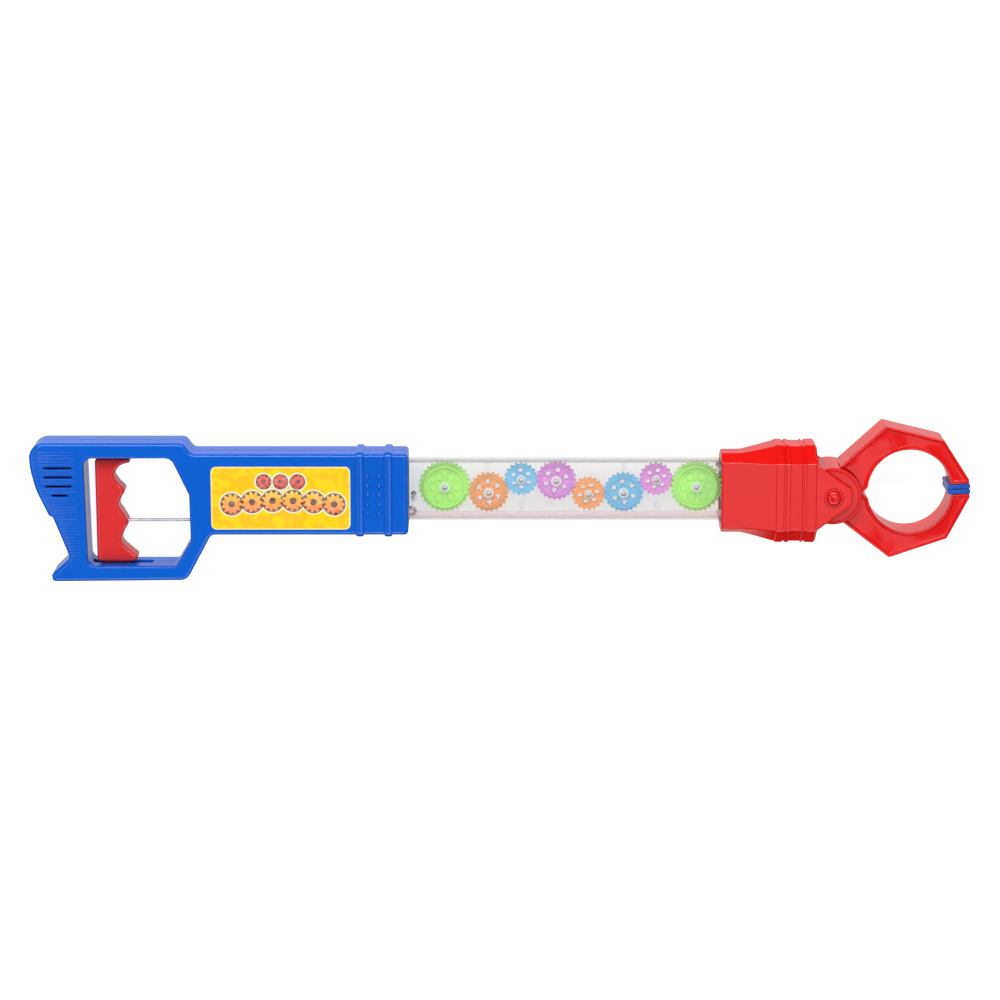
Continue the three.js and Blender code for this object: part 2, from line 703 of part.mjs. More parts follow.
function gear({ name, kind, colour }, place) {
  const at = place.centre.toArray();
  const layers = [
    slab(toothedOutline(place), GEAR_Z),
    disc(at, kind.hub, [GEAR_Z[0], HUB_TOP], SIDES.small),
  ];
  if (kind.rim) {
    const { outer, inner, top, sink } = kind.rim;
    const ring = disc(at, outer, [GEAR_Z[1] - sink, top]);
    layers.push(ring.subtract(disc(at, inner, [GEAR_Z[1] - sink - PAST, 0])));
  }
  const holes = kind.holes ? gearHoles(kind.holes, place) : [];
  const bore = disc(at, GEAR_BORE, [GEAR_Z[0] - PAST, 0], SIDES.small);
  return piece(name, cut(join(layers), [...holes, bore]), PAINT[colour]);
}

// ---- Clear tube -------------------------------------------------------------------------------

function tubeShells(places) {
  const insideZ = TUBE_HALF_DEPTH - TUBE_WALL;
  const insideY = TUBE_HALF_HEIGHT - TUBE_WALL;
  const rearWall = -insideZ - POST_SINK;
  const frontWall = insideZ + POST_SINK;
  const height = [-TUBE_HALF_HEIGHT, TUBE_HALF_HEIGHT];
  const body = box(TUBE_X, height, [-TUBE_HALF_DEPTH, TUBE_HALF_DEPTH]).subtract(
    box([TUBE_X[0] - PAST, TUBE_X[1] + PAST], [-insideY, insideY], [-insideZ, insideZ]),
  );
  const posts = (centres, radius, z) => centres.map((at) => disc(at, radius, z, SIDES.small));
  const gearCentres = places.map(({ centre }) => centre.toArray());
  const front = [
    body.intersect(frontHalf()),
    ...posts(gearCentres, AXLE.capRadius, [HUB_TOP + AXLE.capGap, frontWall]),
    ...posts(TUBE_SCREWS, TUBE_SCREW.boss, [GAP / 2, frontWall]),
  ];
  const rear = [
    body.intersect(backHalf()),
    ...posts(gearCentres, AXLE.radius, [rearWall, HUB_TOP + AXLE.above]),
    ...posts(TUBE_POSTS, POST_RADIUS, [rearWall, insideZ - GAP]),
    ...posts(TUBE_SCREWS, TUBE_SCREW.boss, [rearWall, -GAP / 2]),
  ];
  const room = TUBE_SCREWS.map((at) => screwHole(at));
  return [
    piece("tube_front_shell", cut(join(front), room), PAINT.clear),
    piece("tube_rear_shell", cut(join(rear), room), PAINT.clear),
    ...TUBE_SCREWS.map((at, i) => tubeScrew(`tube_screw_${i + 1}`, at)),
  ];
}

// The tube's two screws are smaller, with heads let into the back wall.
function screwHole(at) {
  return disc(at, TUBE_SCREW.hole, [-FAR, TUBE_SCREW.top + PAST], SIDES.small).add(
    disc(at, TUBE_SCREW.head + GAP, [-FAR, -TUBE_HALF_DEPTH + TUBE_SCREW.headDepth], SIDES.small),
  );
}

function tubeScrew(name, at) {
  const seat = -TUBE_HALF_DEPTH + TUBE_SCREW.headDepth - GAP;
  const head = disc(at, TUBE_SCREW.head, [-TUBE_HALF_DEPTH, seat], SIDES.small);
  const shank = disc(at, TUBE_SCREW.shank, [seat - GAP, TUBE_SCREW.top], SIDES.small);
  return piece(name, head.add(shank), PAINT.steel);
}

// ---- Wrist ------------------------------------------------------------------------------------

// The eight-sided ring of one section, grown or shrunk by a distance.
function wristRing([x, height, depth, flat, strip], grown = 0) {
  const h = height + grown;
  const d = depth + grown;
  const f = flat + grown / 2;
  const s = strip + grown / 2;
  return [
    [h, s],
    [f, d],
    [-f, d],
    [-h, s],
    [-h, -s],
    [-f, -d],
    [f, -d],
    [h, -s],
  ].map(([y, z]) => new THREE.Vector3(x, y, z));
}

// The section between two stated ones, at a given x.
function sectionAt(x) {
  const after = WRIST_SECTIONS.findIndex((section) => section[0] >= x);
  const [low, high] = [WRIST_SECTIONS[after - 1], WRIST_SECTIONS[after]];
  const t = (x - low[0]) / (high[0] - low[0]);
  return low.map((value, i) => value + (high[i] - value) * t);
}

function wristShells() {
  const end = WRIST_SECTIONS.at(-1);
  const bands = WRIST_BANDS.map(([x0, x1]) =>
    loft([
      wristRing(sectionAt(x0)),
      wristRing(sectionAt(x0 + BAND_HEIGHT / 2), BAND_HEIGHT),
      wristRing(sectionAt(x1 - BAND_HEIGHT / 2), BAND_HEIGHT),
      wristRing(sectionAt(x1)),
    ]),
  );
  const outer = join([loft(WRIST_SECTIONS.map((section) => wristRing(section))), ...bands]);
  const cavityStart = TUBE_X[1] + PAST;
  const pastEnd = [end[0] + PAST, ...end.slice(1)];
  const cavity = loft([
    wristRing(sectionAt(cavityStart), -WRIST_WALL),
    wristRing(WRIST_SECTIONS[2], -WRIST_WALL),
    wristRing(pastEnd, -WRIST_WALL),
  ]);
  const ribY = [-GUIDE_RIB.halfWidth, GUIDE_RIB.halfWidth];
  const ribs = [
    box(GUIDE_RIB.x, ribY, [GUIDE_RIB.foot, FAR]),
    box(GUIDE_RIB.x, ribY, [-FAR, -GUIDE_RIB.foot]),
  ];
  const bosses = WRIST_SCREWS.flatMap((at) => [
    disc(at, WRIST_BOSS.radius, [-FAR, FAR], SIDES.small),
    disc(at, SCREW.boss, [-FAR, WRIST_BOSS.footTop], SIDES.small),
  ]);
  const socket = [TUBE_HALF_HEIGHT + GAP, TUBE_HALF_DEPTH + GAP];
  const hollow = cut(outer, [
    cut(cavity, [...ribs, ...bosses]),
    box([end[0] - FAR, cavityStart + GAP], [-socket[0], socket[0]], [-socket[1], socket[1]]),
  ]);
  const ears = [EAR_Z, [-EAR_Z[1], -EAR_Z[0]]].map((z) => slab(outline(EAR_CORNERS), z));
  const earBoss = disc(PIVOT.toArray(), EAR_BOSS.radius, [EAR_Z[0], EAR_BOSS.top]);
  const wristBack = -sectionAt(WRIST_BACK_AT)[2];
  const body = cut(join([hollow, ...ears, earBoss]), [
    disc(PIVOT.toArray(), PIN_RADIUS + GAP, [-FAR, FAR]),
    disc(PIVOT.toArray(), PIN_HEAD.radius + GAP, [PIN_HEAD.shoulder, FAR]),
    ...WRIST_SCREWS.map((at) => screwRoom(at, wristBack)),
  ]);
  return [
    piece("wrist_front_shell", body.intersect(frontHalf()), PAINT.red),
    piece("wrist_rear_shell", body.intersect(backHalf()), PAINT.red),
    ...WRIST_SCREWS.map((at, i) => screw(`wrist_screw_${i + 1}`, at, wristBack)),
  ];
}

function pivotPin() {
  const shoulder = PIN_HEAD.shoulder + GAP;
  const profile = [
    [0, -EAR_Z[1]],
    [PIN_RADIUS, -EAR_Z[1]],
    [PIN_RADIUS, shoulder],
    [PIN_HEAD.radius, shoulder],
    ...PIN_CROWN,
    [0, PIN_CROWN.at(-1)[1]],
  ].map(([r, z]) => new THREE.Vector2(r, z));
  const geometry = new THREE.LatheGeometry(profile, SIDES.round).rotateX(Math.PI / 2);
  return piece("pivot_pin", solid(geometry.translate(PIVOT.x, PIVOT.y, 0)), PAINT.red);
}

// ---- Claw -------------------------------------------------------------------------------------

// The side of one finger, from the neck round the mouth to the tip and back along the outside.
function fingerOutline() {
  const { x, radius, notch, steps } = MOUTH;
  const start = Math.PI - Math.asin(notch / radius);
  const end = Math.asin(TIP_FACE / radius);
  const mouth = Array.from({ length: steps + 1 }, (_, k) => {
    const angle = start + ((end - start) * k) / steps;
    return [x + radius * Math.cos(angle), radius * Math.sin(angle)];
  });
  return outline([[NECK, GAP], ...mouth, ...FINGER_OUTSIDE]);
}

// Points given from the pivot for the upper jaw, put in place for either jaw.
function onClaw(points, side) {
  const own = side > 0 ? points : mirroredInY(points);
  return own.map((p) => p.clone().rotateAround(new THREE.Vector2(), CLAW_TILT).add(PIVOT));
}

// The path that the cross pin follows in a jaw's tail, so that the jaw turns at a constant rate.
function camPath(side) {
  return Array.from({ length: CAM_STEPS + 1 }, (_, k) => {
    const part = k / CAM_STEPS;
    const reach = PIN_CLOSED - TRAVEL * part;
    return new THREE.Vector2(-reach, 0)
      .rotateAround(new THREE.Vector2(), -side * JAW_SWING * part)
      .add(PIVOT);
  });
}

// A wedge of a ring about the pivot, for the room that the crosshead's cheeks need.
function cheekRoom(side, z) {
  const { inner, outer, from, to, steps } = CHEEK_ROOM;
  const arc = (radius, start, end) =>
    Array.from({ length: steps + 1 }, (_, k) => {
      const angle = THREE.MathUtils.degToRad(start + ((end - start) * k) / steps);
      return new THREE.Vector2(radius * Math.cos(angle), radius * Math.sin(angle));
    });
  const points = [...arc(outer, from, to), ...arc(inner, to, from)];
  const own = side > 0 ? points : mirroredInY(points);
  return slab(own.map((p) => p.clone().add(PIVOT)), z);
}

// side is 1 for the upper jaw, whose hub is at the back, and -1 for the lower, whose hub is in front.
function jaw(name, side) {
  const layer = ([low, high]) => (side > 0 ? [-high, -low] : [low, high]);
  const centre = PIVOT.toArray();
  const depth = [-FINGER_HALF_DEPTH, FINGER_HALF_DEPTH];
  const finger = slab(onClaw(fingerOutline(), side), depth, FINGER_EDGE).subtract(
    disc(centre, HUB_ROOM, layer([-FAR, HUB_MIDDLE]), SIDES.fine),
  );
  const hub = join([
    disc(centre, HUB_RADIUS, layer([HUB_MIDDLE, HUB_STEP.from]), SIDES.fine),
    disc(centre, HUB_STEP.radius, layer([HUB_MIDDLE, HUB_STEP.top]), SIDES.fine),
  ]).subtract(cheekRoom(side, layer([TAIL_Z[1], CHEEK_ROOM.top])));
  const path = camPath(side);
  const tail = slab(ribbon(path, TAIL_HALF), layer(TAIL_Z));
  const pocketX = [PAD_TONGUE.x[0] - GAP, PAD_TONGUE.x[1] + GAP];
  const pocket = rectangle(pocketX, [TIP_FACE - PAST, PAD_TONGUE.y[1] + GAP]);
  const pocketZ = [-PAD_TONGUE.halfDepth - GAP, PAD_TONGUE.halfDepth + GAP];
  const body = cut(join([finger, hub, tail]), [
    slab(ribbon(path, SLOT_HALF), layer([-GAP, TAIL_Z[1]])),
    disc(centre, PIN_RADIUS + GAP, [-FAR, FAR]),
    slab(onClaw(pocket, side), pocketZ),
  ]);
  return piece(name, body, PAINT.red);
}

function pad(name, side) {
  const face = rectangle(PAD.x, PAD.y);
  const tongue = rectangle(PAD_TONGUE.x, PAD_TONGUE.y);
  const body = slab(onClaw(face, side), [-PAD.halfDepth, PAD.halfDepth]).add(
    slab(onClaw(tongue, side), [-PAD_TONGUE.halfDepth, PAD_TONGUE.halfDepth]),
  );
  return piece(name, body, PAINT.blue);
}

// ---- The whole arm ----------------------------------------------------------------------------

const places = gearPlaces();
const arm = new THREE.Group();
arm.add(
  ...handleShells(),
  label(),
  trigger(),
  triggerRod(),
  returnSpring(),
  pullBar(),
  ...crosshead(places.at(-1)),
  ...TRAIN.map((entry, i) => gear(entry, places[i])),
  ...tubeShells(places),
  ...wristShells(),
  pivotPin(),
  jaw("upper_jaw", 1),
  jaw("lower_jaw", -1),
  pad("upper_pad", 1),
  pad("lower_pad", -1),
);
const extent = new THREE.Box3().setFromObject(arm, true);
const middle = extent.getCenter(new THREE.Vector3());
arm.position.set(-middle.x, -middle.y, -extent.min.z);

const grabber = new THREE.Group();
grabber.name = "grabber_arm";
grabber.add(arm);

export default grabber;
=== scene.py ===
# Looks for the toy grabber arm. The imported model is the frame, and every piece here is placed from it.
# Pieces are shaped in millimetres about the clear tube's axis: x runs along the arm from the handle to
# the claw, y is the knuckle side and z is the front, and are then put in the frame in metres.
import math

import bmesh
import bpy
from mathutils import Matrix, Vector, geometry


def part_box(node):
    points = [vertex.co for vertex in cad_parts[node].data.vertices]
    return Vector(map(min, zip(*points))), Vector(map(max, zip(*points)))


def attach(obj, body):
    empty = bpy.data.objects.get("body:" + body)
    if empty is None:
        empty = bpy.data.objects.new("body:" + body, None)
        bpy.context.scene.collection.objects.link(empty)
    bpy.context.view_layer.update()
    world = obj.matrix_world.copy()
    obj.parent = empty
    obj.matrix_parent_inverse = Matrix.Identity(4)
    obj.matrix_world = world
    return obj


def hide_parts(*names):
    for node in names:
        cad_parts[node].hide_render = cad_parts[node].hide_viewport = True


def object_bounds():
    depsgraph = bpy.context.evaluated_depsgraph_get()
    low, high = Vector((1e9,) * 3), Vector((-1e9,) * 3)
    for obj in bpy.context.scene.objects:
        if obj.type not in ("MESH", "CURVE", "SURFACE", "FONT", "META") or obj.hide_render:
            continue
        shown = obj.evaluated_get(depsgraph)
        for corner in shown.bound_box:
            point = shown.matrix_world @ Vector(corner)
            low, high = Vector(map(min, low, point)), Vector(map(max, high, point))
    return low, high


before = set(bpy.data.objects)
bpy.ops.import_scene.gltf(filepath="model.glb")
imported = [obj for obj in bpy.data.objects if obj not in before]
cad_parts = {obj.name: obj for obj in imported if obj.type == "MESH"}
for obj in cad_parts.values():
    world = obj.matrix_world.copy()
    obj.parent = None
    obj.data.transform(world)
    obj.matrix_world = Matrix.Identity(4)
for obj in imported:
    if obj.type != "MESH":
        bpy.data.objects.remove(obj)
CAD_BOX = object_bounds()

MM = 0.001
FAR = 400  # mm, past the whole arm
NEARLY_STRAIGHT = 0.02  # sine of the turn between two edges that count as one line

# ---- Driving dimensions, mm ------------------------------------------------------------------------

TUBE_START = -75
TUBE_END = 157
TUBE_HALF_HEIGHT = 18.35
TUBE_HALF_DEPTH = 12.5
TUBE_WALL = 1.4
TUBE_CORNERS = {"outer": 1.1, "inner": 0.5}
SEAM = 0.15  # half of the gap between two half shells
PLAY = 0.3  # room between a piece and what holds it
PAST = 1  # how far a cutting body goes past the face that it opens, and a socket past the tube's end

HANDLE_HALF_DEPTH = 15
HANDLE_EDGE = 2.2
HANDLE_WALL = 2.4
HANDLE_BOSS = 4.2
END_WALL = 3.4  # behind the tube's end
SEAM_EDGE = 0.35
WINDOW_Y = (-20, 13)
BARREL_TOP = 24.9
BARREL_END = -55.3
HANDLE_CORNERS = [
    (-190.9, 31.5, 5),
    (-284.3, 31.5, 9),
    (-284.1, 17, 40),
    (-280.6, 3, 40),
    (-272.9, -13.2, 2.6),
    (-270.6, -14.1, 1),
    (-260.7, -39.2, 3),
    (-272, -49.4, 2.6),
    (-271.6, -53.9, 2.4),
    (-189.8, -53.1, 7),
    (-174.8, -BARREL_TOP, 4),
    (BARREL_END, -BARREL_TOP, 2.4),
    (BARREL_END, BARREL_TOP, 2.4),
    (-186, BARREL_TOP, 4),
]
OPENING_CEILING = 22.1
OPENING_FLOOR = -44.2
OPENING_EDGE = 1.3
OPENING_CORNERS = [
    (-198.6, OPENING_CEILING, 6),
    (-251.3, OPENING_CEILING, 5),
    (-249.6, OPENING_FLOOR, 5),
    (-196.4, OPENING_FLOOR, 3),
    (-187.3, -28.6, 2),
    (-187.9, -0.3, 2),
]
TONGUE_SLOT = {"x": (-249.4, -211.4), "half_depth": 4.2, "sunk": 3.4}
ROD_HOLE = {"x": (-190, -183), "half": 2}
VENT_HALF = 0.7
VENTS = [(16.4, -275.4, -258.3), (10.8, -275.4, -258.3), (5.2, -274.8, -258.5), (-0.4, -270.8, -261)]
RIBS = {
    "top": 25.73,
    "bottom": -38.2,
    "pitch": 5.6 / 3,
    "half": 0.6,
    "corner": 0.45,
    "rise": 0.18,
    "sunk": 0.15,
    "edge": 0.16,
}
GRIP_LEFT = [  # y, x along the ends of the ribs
    (26.4, -279.5),
    (17, -279.4),
    (3, -276.4),
    (-8, -272.3),
    (-14, -269),
    (-26, -265),
    (-38.2, -261.2),
]
GRIP_RIGHT = [(26.4, -256.8), (-38.2, -254)]
BARREL_BANDS = [(-87, -82.3), (-69.8, -65)]
BARREL_BAND = {"sunk": 0.6, "edge": [(0, 0.35), (0.25, 0.8), (0.9, 1.2)]}
DOTS = {"x": (-79.8, -72.8), "top": 11.4, "pitch": 5.8, "rows": 5, "radius": 1.4, "rise": 1.15, "sunk": 0.4}

LABEL = {"x": (-174.5, -90.2), "y": (-21.3, 17.4), "corner": 3.3, "border": 0.8, "lift": 0.05, "top": 0.35}
INK = 0.04  # thickness of one printed layer
BIG_COGS = [((-162 + 12.4 * k, -5.6 + 2.2 * math.sin(math.pi * k / 5)), 6.4, 11) for k in range(6)]
SMALL_COGS = [((-142.5 + 10.2 * k, 8.2), 4.3, 9) for k in range(3)]
COG_TOOTH = ((0.78, -0.3), (1, -0.2), (1, 0.2), (0.78, 0.3))  # share of the radius, share of a tooth's turn
COG_HOLE = 0.32  # share of the radius

TRIGGER_HALF_DEPTH = 8
TRIGGER_EDGE = 1.9
TRIGGER_TOP = 20.9
TRIGGER_BOTTOM = -42.8
TRIGGER_BACK = [(-245.2, TRIGGER_TOP, 2), (-244.8, TRIGGER_BOTTOM, 2)]
TRIGGER_NOSE = (-220.2, TRIGGER_BOTTOM, 2.4)
TRIGGER_LIP = 0.9
TRIGGER_FINGERS = [
    (-220.4, -39.2),
    (-223.9, -36.5),
    (-229.7, -30.5),
    (-228.3, -24.2),
    (-225.6, -18.8),
    (-228.5, -12.8),
    (-231.2, -8),
    (-229.6, -3.4),
    (-227.5, 1.4),
    (-231.5, 6.1),
    (-233.7, 11),
    (-229.9, 16.4),
    (-224.2, 18.4),
]
TONGUE = {"x": (-242, -226), "reach": 4.8, "half_depth": 3.7, "corner": 0.9, "edge": 0.4}

ROD_RADIUS = 1
ROD_PATH = [(-229, -18.3), (-98, -18.3), (-88, -15.2), (-55.1, -15.2)]
HOOK = {"at": (-53.6, -13), "radius": 2.2, "degrees": range(-75, 126, 10)}
COLLAR = {"x": (-151.5, -149.5), "radius": 3.8, "edge": 0.4}

MODULE = 1.02
ADDENDUM = 0.45
DEDENDUM = 0.8
TOOTH_TIP = 0.42
TOOTH_ROOT = 0.95
FLANK = {"drop": 0.1, "spread": 0.06}  # from the pitch circle, and beyond the mean half width
GEAR_BACK = -10.5
GEAR_FRONT = -6.5
GEARS = {
    "green_gear_1": (30, 0, "gear_green"),
    "orange_gear_1": (23, -7.6, "gear_orange"),
    "blue_gear_1": (19, 22.6, "gear_blue"),
    "violet_gear_1": (23, -2.6, "gear_violet"),
    "orange_gear_2": (19, -22.5, "gear_orange"),
    "blue_gear_2": (23, 2.4, "gear_blue"),
    "violet_gear_2": (19, 22.5, "gear_violet"),
    "green_gear_2": (30, -10.5, "gear_green"),
}
FIRST_GEAR = (-33.5, 0.9)
GEAR_BORE = 1.8
GEAR_EDGE = 0.2
HUBS = {"radius": {19: 2.7, 23: 3.2, 30: 3}, "rise": 2.2}
RIMS = {23: (10.2, 9, 0.9, 64), 30: (13.2, 11.9, 1.9, 80)}  # outer and inner radius, rise and facets
RIM_SUNK = 0.5
ROUND_HOLES = {"at": 5.2, "radius": 1.5}
STARS = {"at": 6.4, "outer": 2.3, "inner": 1.3}
WELLS = {"at": 7.2, "outer": 2.9, "inner": 2.3, "rise": 0.6}

TUBE_SCREWS = [(-52.6, -4.4), (133.6, 13.9)]
SPACERS = [(-7.9, 14.4), (75.8, 14.2), (13.4, -10.2), (95.8, -10.2)]
SPACER_RADIUS = 1.6
AXLE = {"radius": 1.5, "tip": -3.4}
AXLE_CAP = {"radius": 2.2, "tip": -3.1}
SCREW_POST = {"radius": 2.2, "tip": 0.2}

WRIST_START = 134
WRIST_FLARE = 146
WRIST_SWELL = 165.8
WRIST_END = 191.6
WRIST_SECTIONS = [  # x, half height, half depth, and half width of the front face and of the top face
    (WRIST_START, 24.4, 17, 20.2, 7.5),
    (WRIST_FLARE, 24.4, 17, 20.2, 7.5),
    (WRIST_SWELL, 29.2, 24.2, 20.3, 10.7),
    (WRIST_END, 29.3, 24.4, 20.3, 10.8),
]
WRIST_STATIONS = [  # x, and how far the outside is grown there, for soft ends and a slight waist
    (WRIST_START, -0.9),
    (WRIST_START + 0.25, -0.35),
    (WRIST_START + 0.9, 0),
    (WRIST_FLARE, 0),
    (156, -0.15),
    (WRIST_SWELL, 0),
    (WRIST_END - 0.9, 0),
    (WRIST_END - 0.25, -0.35),
    (WRIST_END, -0.9),
]
WRIST_CORNER = 1.3
WRIST_BANDS = [(166.5, 171.4), (172.3, 175.2), (181.9, 183.4), (184.6, 190.7)]
WRIST_BAND = {"sunk": 0.7, "edge": [(0, 0.3), (0.35, 0.75)]}
WRIST_WALL = 2.2
WRIST_RIB = {"x": (158.5, 182), "y": (-4, 4), "from": 8.4}
WRIST_MARKS = {
    "x": 180,
    "y": (7.7, -1, -9.9),
    "radius": 1.1,
    "waist": 0.45,
    "turn": 0.4,
    "rise": 0.35,
    "sunk": 0.3,
}
EAR = {"back": 21, "front": 24.3, "edge": 0.6}
EAR_BOSS = {"radius": 6, "base": 21.7, "top": 25, "edge": 0.5}
WRIST_BOSS = {"radius": 2.5, "foot": 4.2, "foot_top": -17}
WRIST_BACK_AT = 170
EAR_CORNERS = [
    (186, -20),
    (191.6, -20),
    (196.3, -16.4, 1),
    (211.9, -4.6, 1.5),
    (212.1, 5.2, 1.5),
    (192.4, 19.3, 1),
    (186, 19.6),
]
HANDLE_SCREWS = [(-266, 23.6), (-257.5, -47), (-201.5, -48.6), (-192.6, 20), (-150, 15.5), (-92, 15.5)]
WRIST_SCREWS = [(168, 19.4), (168, -19.4), (187.6, 17.6), (187.6, -17.6)]
SCREW = {"shank": 1.2, "head": 2.6, "depth": 2.2, "sunk": 1, "recess": 3, "hole": 1.5, "point": 8, "taper": 3}
SCREW_CROWN = [(0, 0), (1.4, 0), (2.1, 0.3), (2.5, 0.9), (2.6, 1.5)]  # radius, and height from the top
SCREW_CROSS = {"reach": 1.5, "half": 0.3, "sunk": 1.1, "turn": 0.3}
RECESS_CHAMFER = 0.6
SCREW_HOLE_END = 2
SMALL_SCREW_HEAD = [(0, 0), (1.4, 0), (1.7, 0.3), (1.7, 0.7), (0.8, 0.7)]
SMALL_SCREW_POINT = [(0.8, 7.2), (0, 8)]

PIVOT = (201.2, 0)
PIN_HOLE = 2.8
HEAD_HOLE = {"radius": 4.6, "from": 23.1}
PIN_PROFILE = [  # radius and height, from the rear end to the dimple in the round cap
    (0, -24.3),
    (2.2, -24.3),
    (2.5, -24),
    (2.5, 23.4),
    (4.3, 23.4),
    (4.3, 25.5),
    (4.1, 26.1),
    (3.6, 26.55),
    (2.8, 26.85),
    (1.9, 27),
    (1.6, 26.8),
    (0.9, 26.65),
    (0, 26.6),
]
CLAW_TILT = math.radians(2.5)
JAW_SWING = math.radians(35)
TRAVEL = 9.3
HUB_RADIUS = 17.4
HUB_FACE = [  # radius and distance from the middle plane: the edge, the groove and the step
    (HUB_RADIUS, 18.9),
    (16.9, 19.4),
    (16.2, 19.4),
    (15.9, 19),
    (15.5, 19),
    (15.4, 19.8),
    (15, 20.2),
    (0, 20.2),
]
HUB_ROOM = 17.8
MIDDLE_GAP = 0.2  # between the middle plane and each jaw's hub
CAM = {"reach": 24, "half_slot": 1.8, "half_tail": 4.2, "z": (0.3, 5.2), "edge": 0.3}
CHEEK_ROOM = {"from": 115, "turn": 85, "radii": (9.3, 20.4), "z": (5.2, 8.6)}
FINGER_HALF_DEPTH = 14
FINGER_START = (18.6, 0.3)
FINGER_RIM = [(0.75, 0), (0.55, 0.03), (0.22, 0.18), (0.05, 0.4), (0, 0.65)]  # below the face, from the side
FINGER_PANEL = [(0, 1.4), (0.15, 1.6), (0.8, 2.2), (0.9, 2.5)]  # the same, for the sunk middle of the face
MOUTH = {"x": 46.7, "radius": 25.4, "notch": 3.5, "tip": 3.2, "steps": 44}
FINGER_OUTSIDE = [
    (82.9, 3.2),
    (82.9, 5.6),
    (68.5, 30.2, 2),
    (33.2, 40.5, 2.4),
    (4.9, 16.7),
    (3, 9),
    (12, 0.3),
]
PAD = {"x": (69.6, 83.4), "y": (0.25, 2.9), "half_depth": 14.2, "corner": 0.7, "edge": 0.5}
PAD_TONGUE = {"x": (74.5, 80), "y": (2.4, 7), "half_depth": 9, "corner": 0.3}


def arm_origin():
    """The point on the tube's axis, in the frame, that the millimetre dimensions are counted from."""
    rear_low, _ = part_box("tube_rear_shell")
    front_low, front_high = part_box("tube_front_shell")
    x = front_low.x - TUBE_START * MM
    y = (front_low.y + front_high.y) / 2
    z = (rear_low.z + front_high.z) / 2
    return Vector((x, y, z))


ORIGIN = arm_origin()

# ---- Outlines --------------------------------------------------------------------------------------


def turned(point, angle):
    return Matrix.Rotation(angle, 2) @ Vector(point)


def rounded(corners, steps=0):
    """A closed outline from corners (x, y) or (x, y, radius). steps fixes the facets of each corner."""
    points = []
    for i, (x, y, *radius) in enumerate(corners):
        here = Vector((x, y))
        if not radius or not radius[0]:
            points.append(here)
            continue
        after = corners[(i + 1) % len(corners)]
        back = (Vector(corners[i - 1][:2]) - here).normalized()
        ahead = (Vector(after[:2]) - here).normalized()
        half = back.angle(ahead) / 2
        middle = here + (back + ahead).normalized() * (radius[0] / math.sin(half))
        reach = radius[0] / math.tan(half)
        start = here + back * reach - middle
        end = here + ahead * reach - middle
        turn = math.atan2(start.x * end.y - start.y * end.x, start.dot(end))
        count = steps or max(2, math.ceil(abs(turn) / math.radians(7)))
        points += [middle + turned(start, turn * k / count) for k in range(count + 1)]
    return points


def meeting(before, after, distance):
    """Where two edges (start, direction, end) meet after both have moved to their left."""
    end = before[2] + Vector((-before[1].y, before[1].x)) * distance
    start = after[0] + Vector((-after[1].y, after[1].x)) * distance
    turn = before[1].cross(after[1])
    if abs(turn) < NEARLY_STRAIGHT:
        return (end + start) / 2
    return end + before[1] * ((start - end).cross(after[1]) / turn)


def inset(points, distance):
    """The outline moved to the left of its travel. An edge that gets too short closes up."""
    edges = []
    for i, here in enumerate(points):
        ahead = points[(i + 1) % len(points)]
        edges.append((here, (ahead - here).normalized(), ahead))
    alive = [i for i, (_, heading, _) in enumerate(edges) if heading.length > 0]
    while True:
        corners = [meeting(edges[alive[k - 1]], edges[alive[k]], distance) for k in range(len(alive))]
        following = [*corners[1:], corners[0]]
        left = [(end - start).dot(edges[i][1]) for start, end, i in zip(corners, following, alive)]
        shortest = min(range(len(alive)), key=left.__getitem__)
        if left[shortest] >= 0 or len(alive) <= 3:
            break
        alive.pop(shortest)
    moved = []
    for i in range(len(points)):
        k = next((k for k, edge in enumerate(alive) if edge >= i), 0)
        moved.append(corners[k])
    return moved


def smooth_line(stations, steps):
    """A Catmull-Rom line through the stations."""
    padded = [stations[0], *stations, stations[-1]]
    line = []
    for a, b, c, d in zip(padded, padded[1:], padded[2:], padded[3:]):
        a, b, c, d = (Vector(station) for station in (a, b, c, d))
        for k in range(steps):
            t = k / steps
            bend = (2 * a - 5 * b + 4 * c - d) * t**2 + (3 * b - a - 3 * c + d) * t**3
            line.append((2 * b + (c - a) * t + bend) / 2)
    line.append(Vector(stations[-1]))
    return line


def circle(centre, radius, count):
    return [Vector(centre) + turned((radius, 0), math.tau * k / count) for k in range(count)]


def rectangle(x, y, corner=0):
    return rounded([(x[0], y[0], corner), (x[1], y[0], corner), (x[1], y[1], corner), (x[0], y[1], corner)])


def mirrored(points):
    return [Vector((p[0], -p[1])) for p in reversed(points)]


def edge_levels(low, high, low_edge, high_edge, steps=5):
    """Heights and insets of a body whose two edges are rounded to the given radii."""
    quarter = [math.pi / 2 * k / steps for k in range(steps + 1)]
    arc = [(1 - math.sin(a), 1 - math.cos(a)) for a in quarter]
    bottom = [(low + low_edge * drop, low_edge * depth) for drop, depth in reversed(arc)]
    top = [(high - high_edge * drop, high_edge * depth) for drop, depth in arc]
    return (bottom if low_edge else [(low, 0)]) + (top if high_edge else [(high, 0)])


# ---- Bodies ----------------------------------------------------------------------------------------


def new_object(name, mesh):
    bmesh.ops.remove_doubles(mesh, verts=mesh.verts, dist=1e-4)
    bmesh.ops.recalc_face_normals(mesh, faces=mesh.faces)
    data = bpy.data.meshes.new(name)
    mesh.to_mesh(data)
    mesh.free()
    made = bpy.data.objects.new(name, data)
    bpy.context.scene.collection.objects.link(made)
    return made


def join_rings(mesh, rings, closed=False):
    pairs = list(zip(rings, rings[1:]))
    if closed:
        pairs.append((rings[-1], rings[0]))
    for low, high in pairs:
        for i in range(len(low)):
            j = (i + 1) % len(low)
            mesh.faces.new((low[i], low[j], high[j], high[i]))


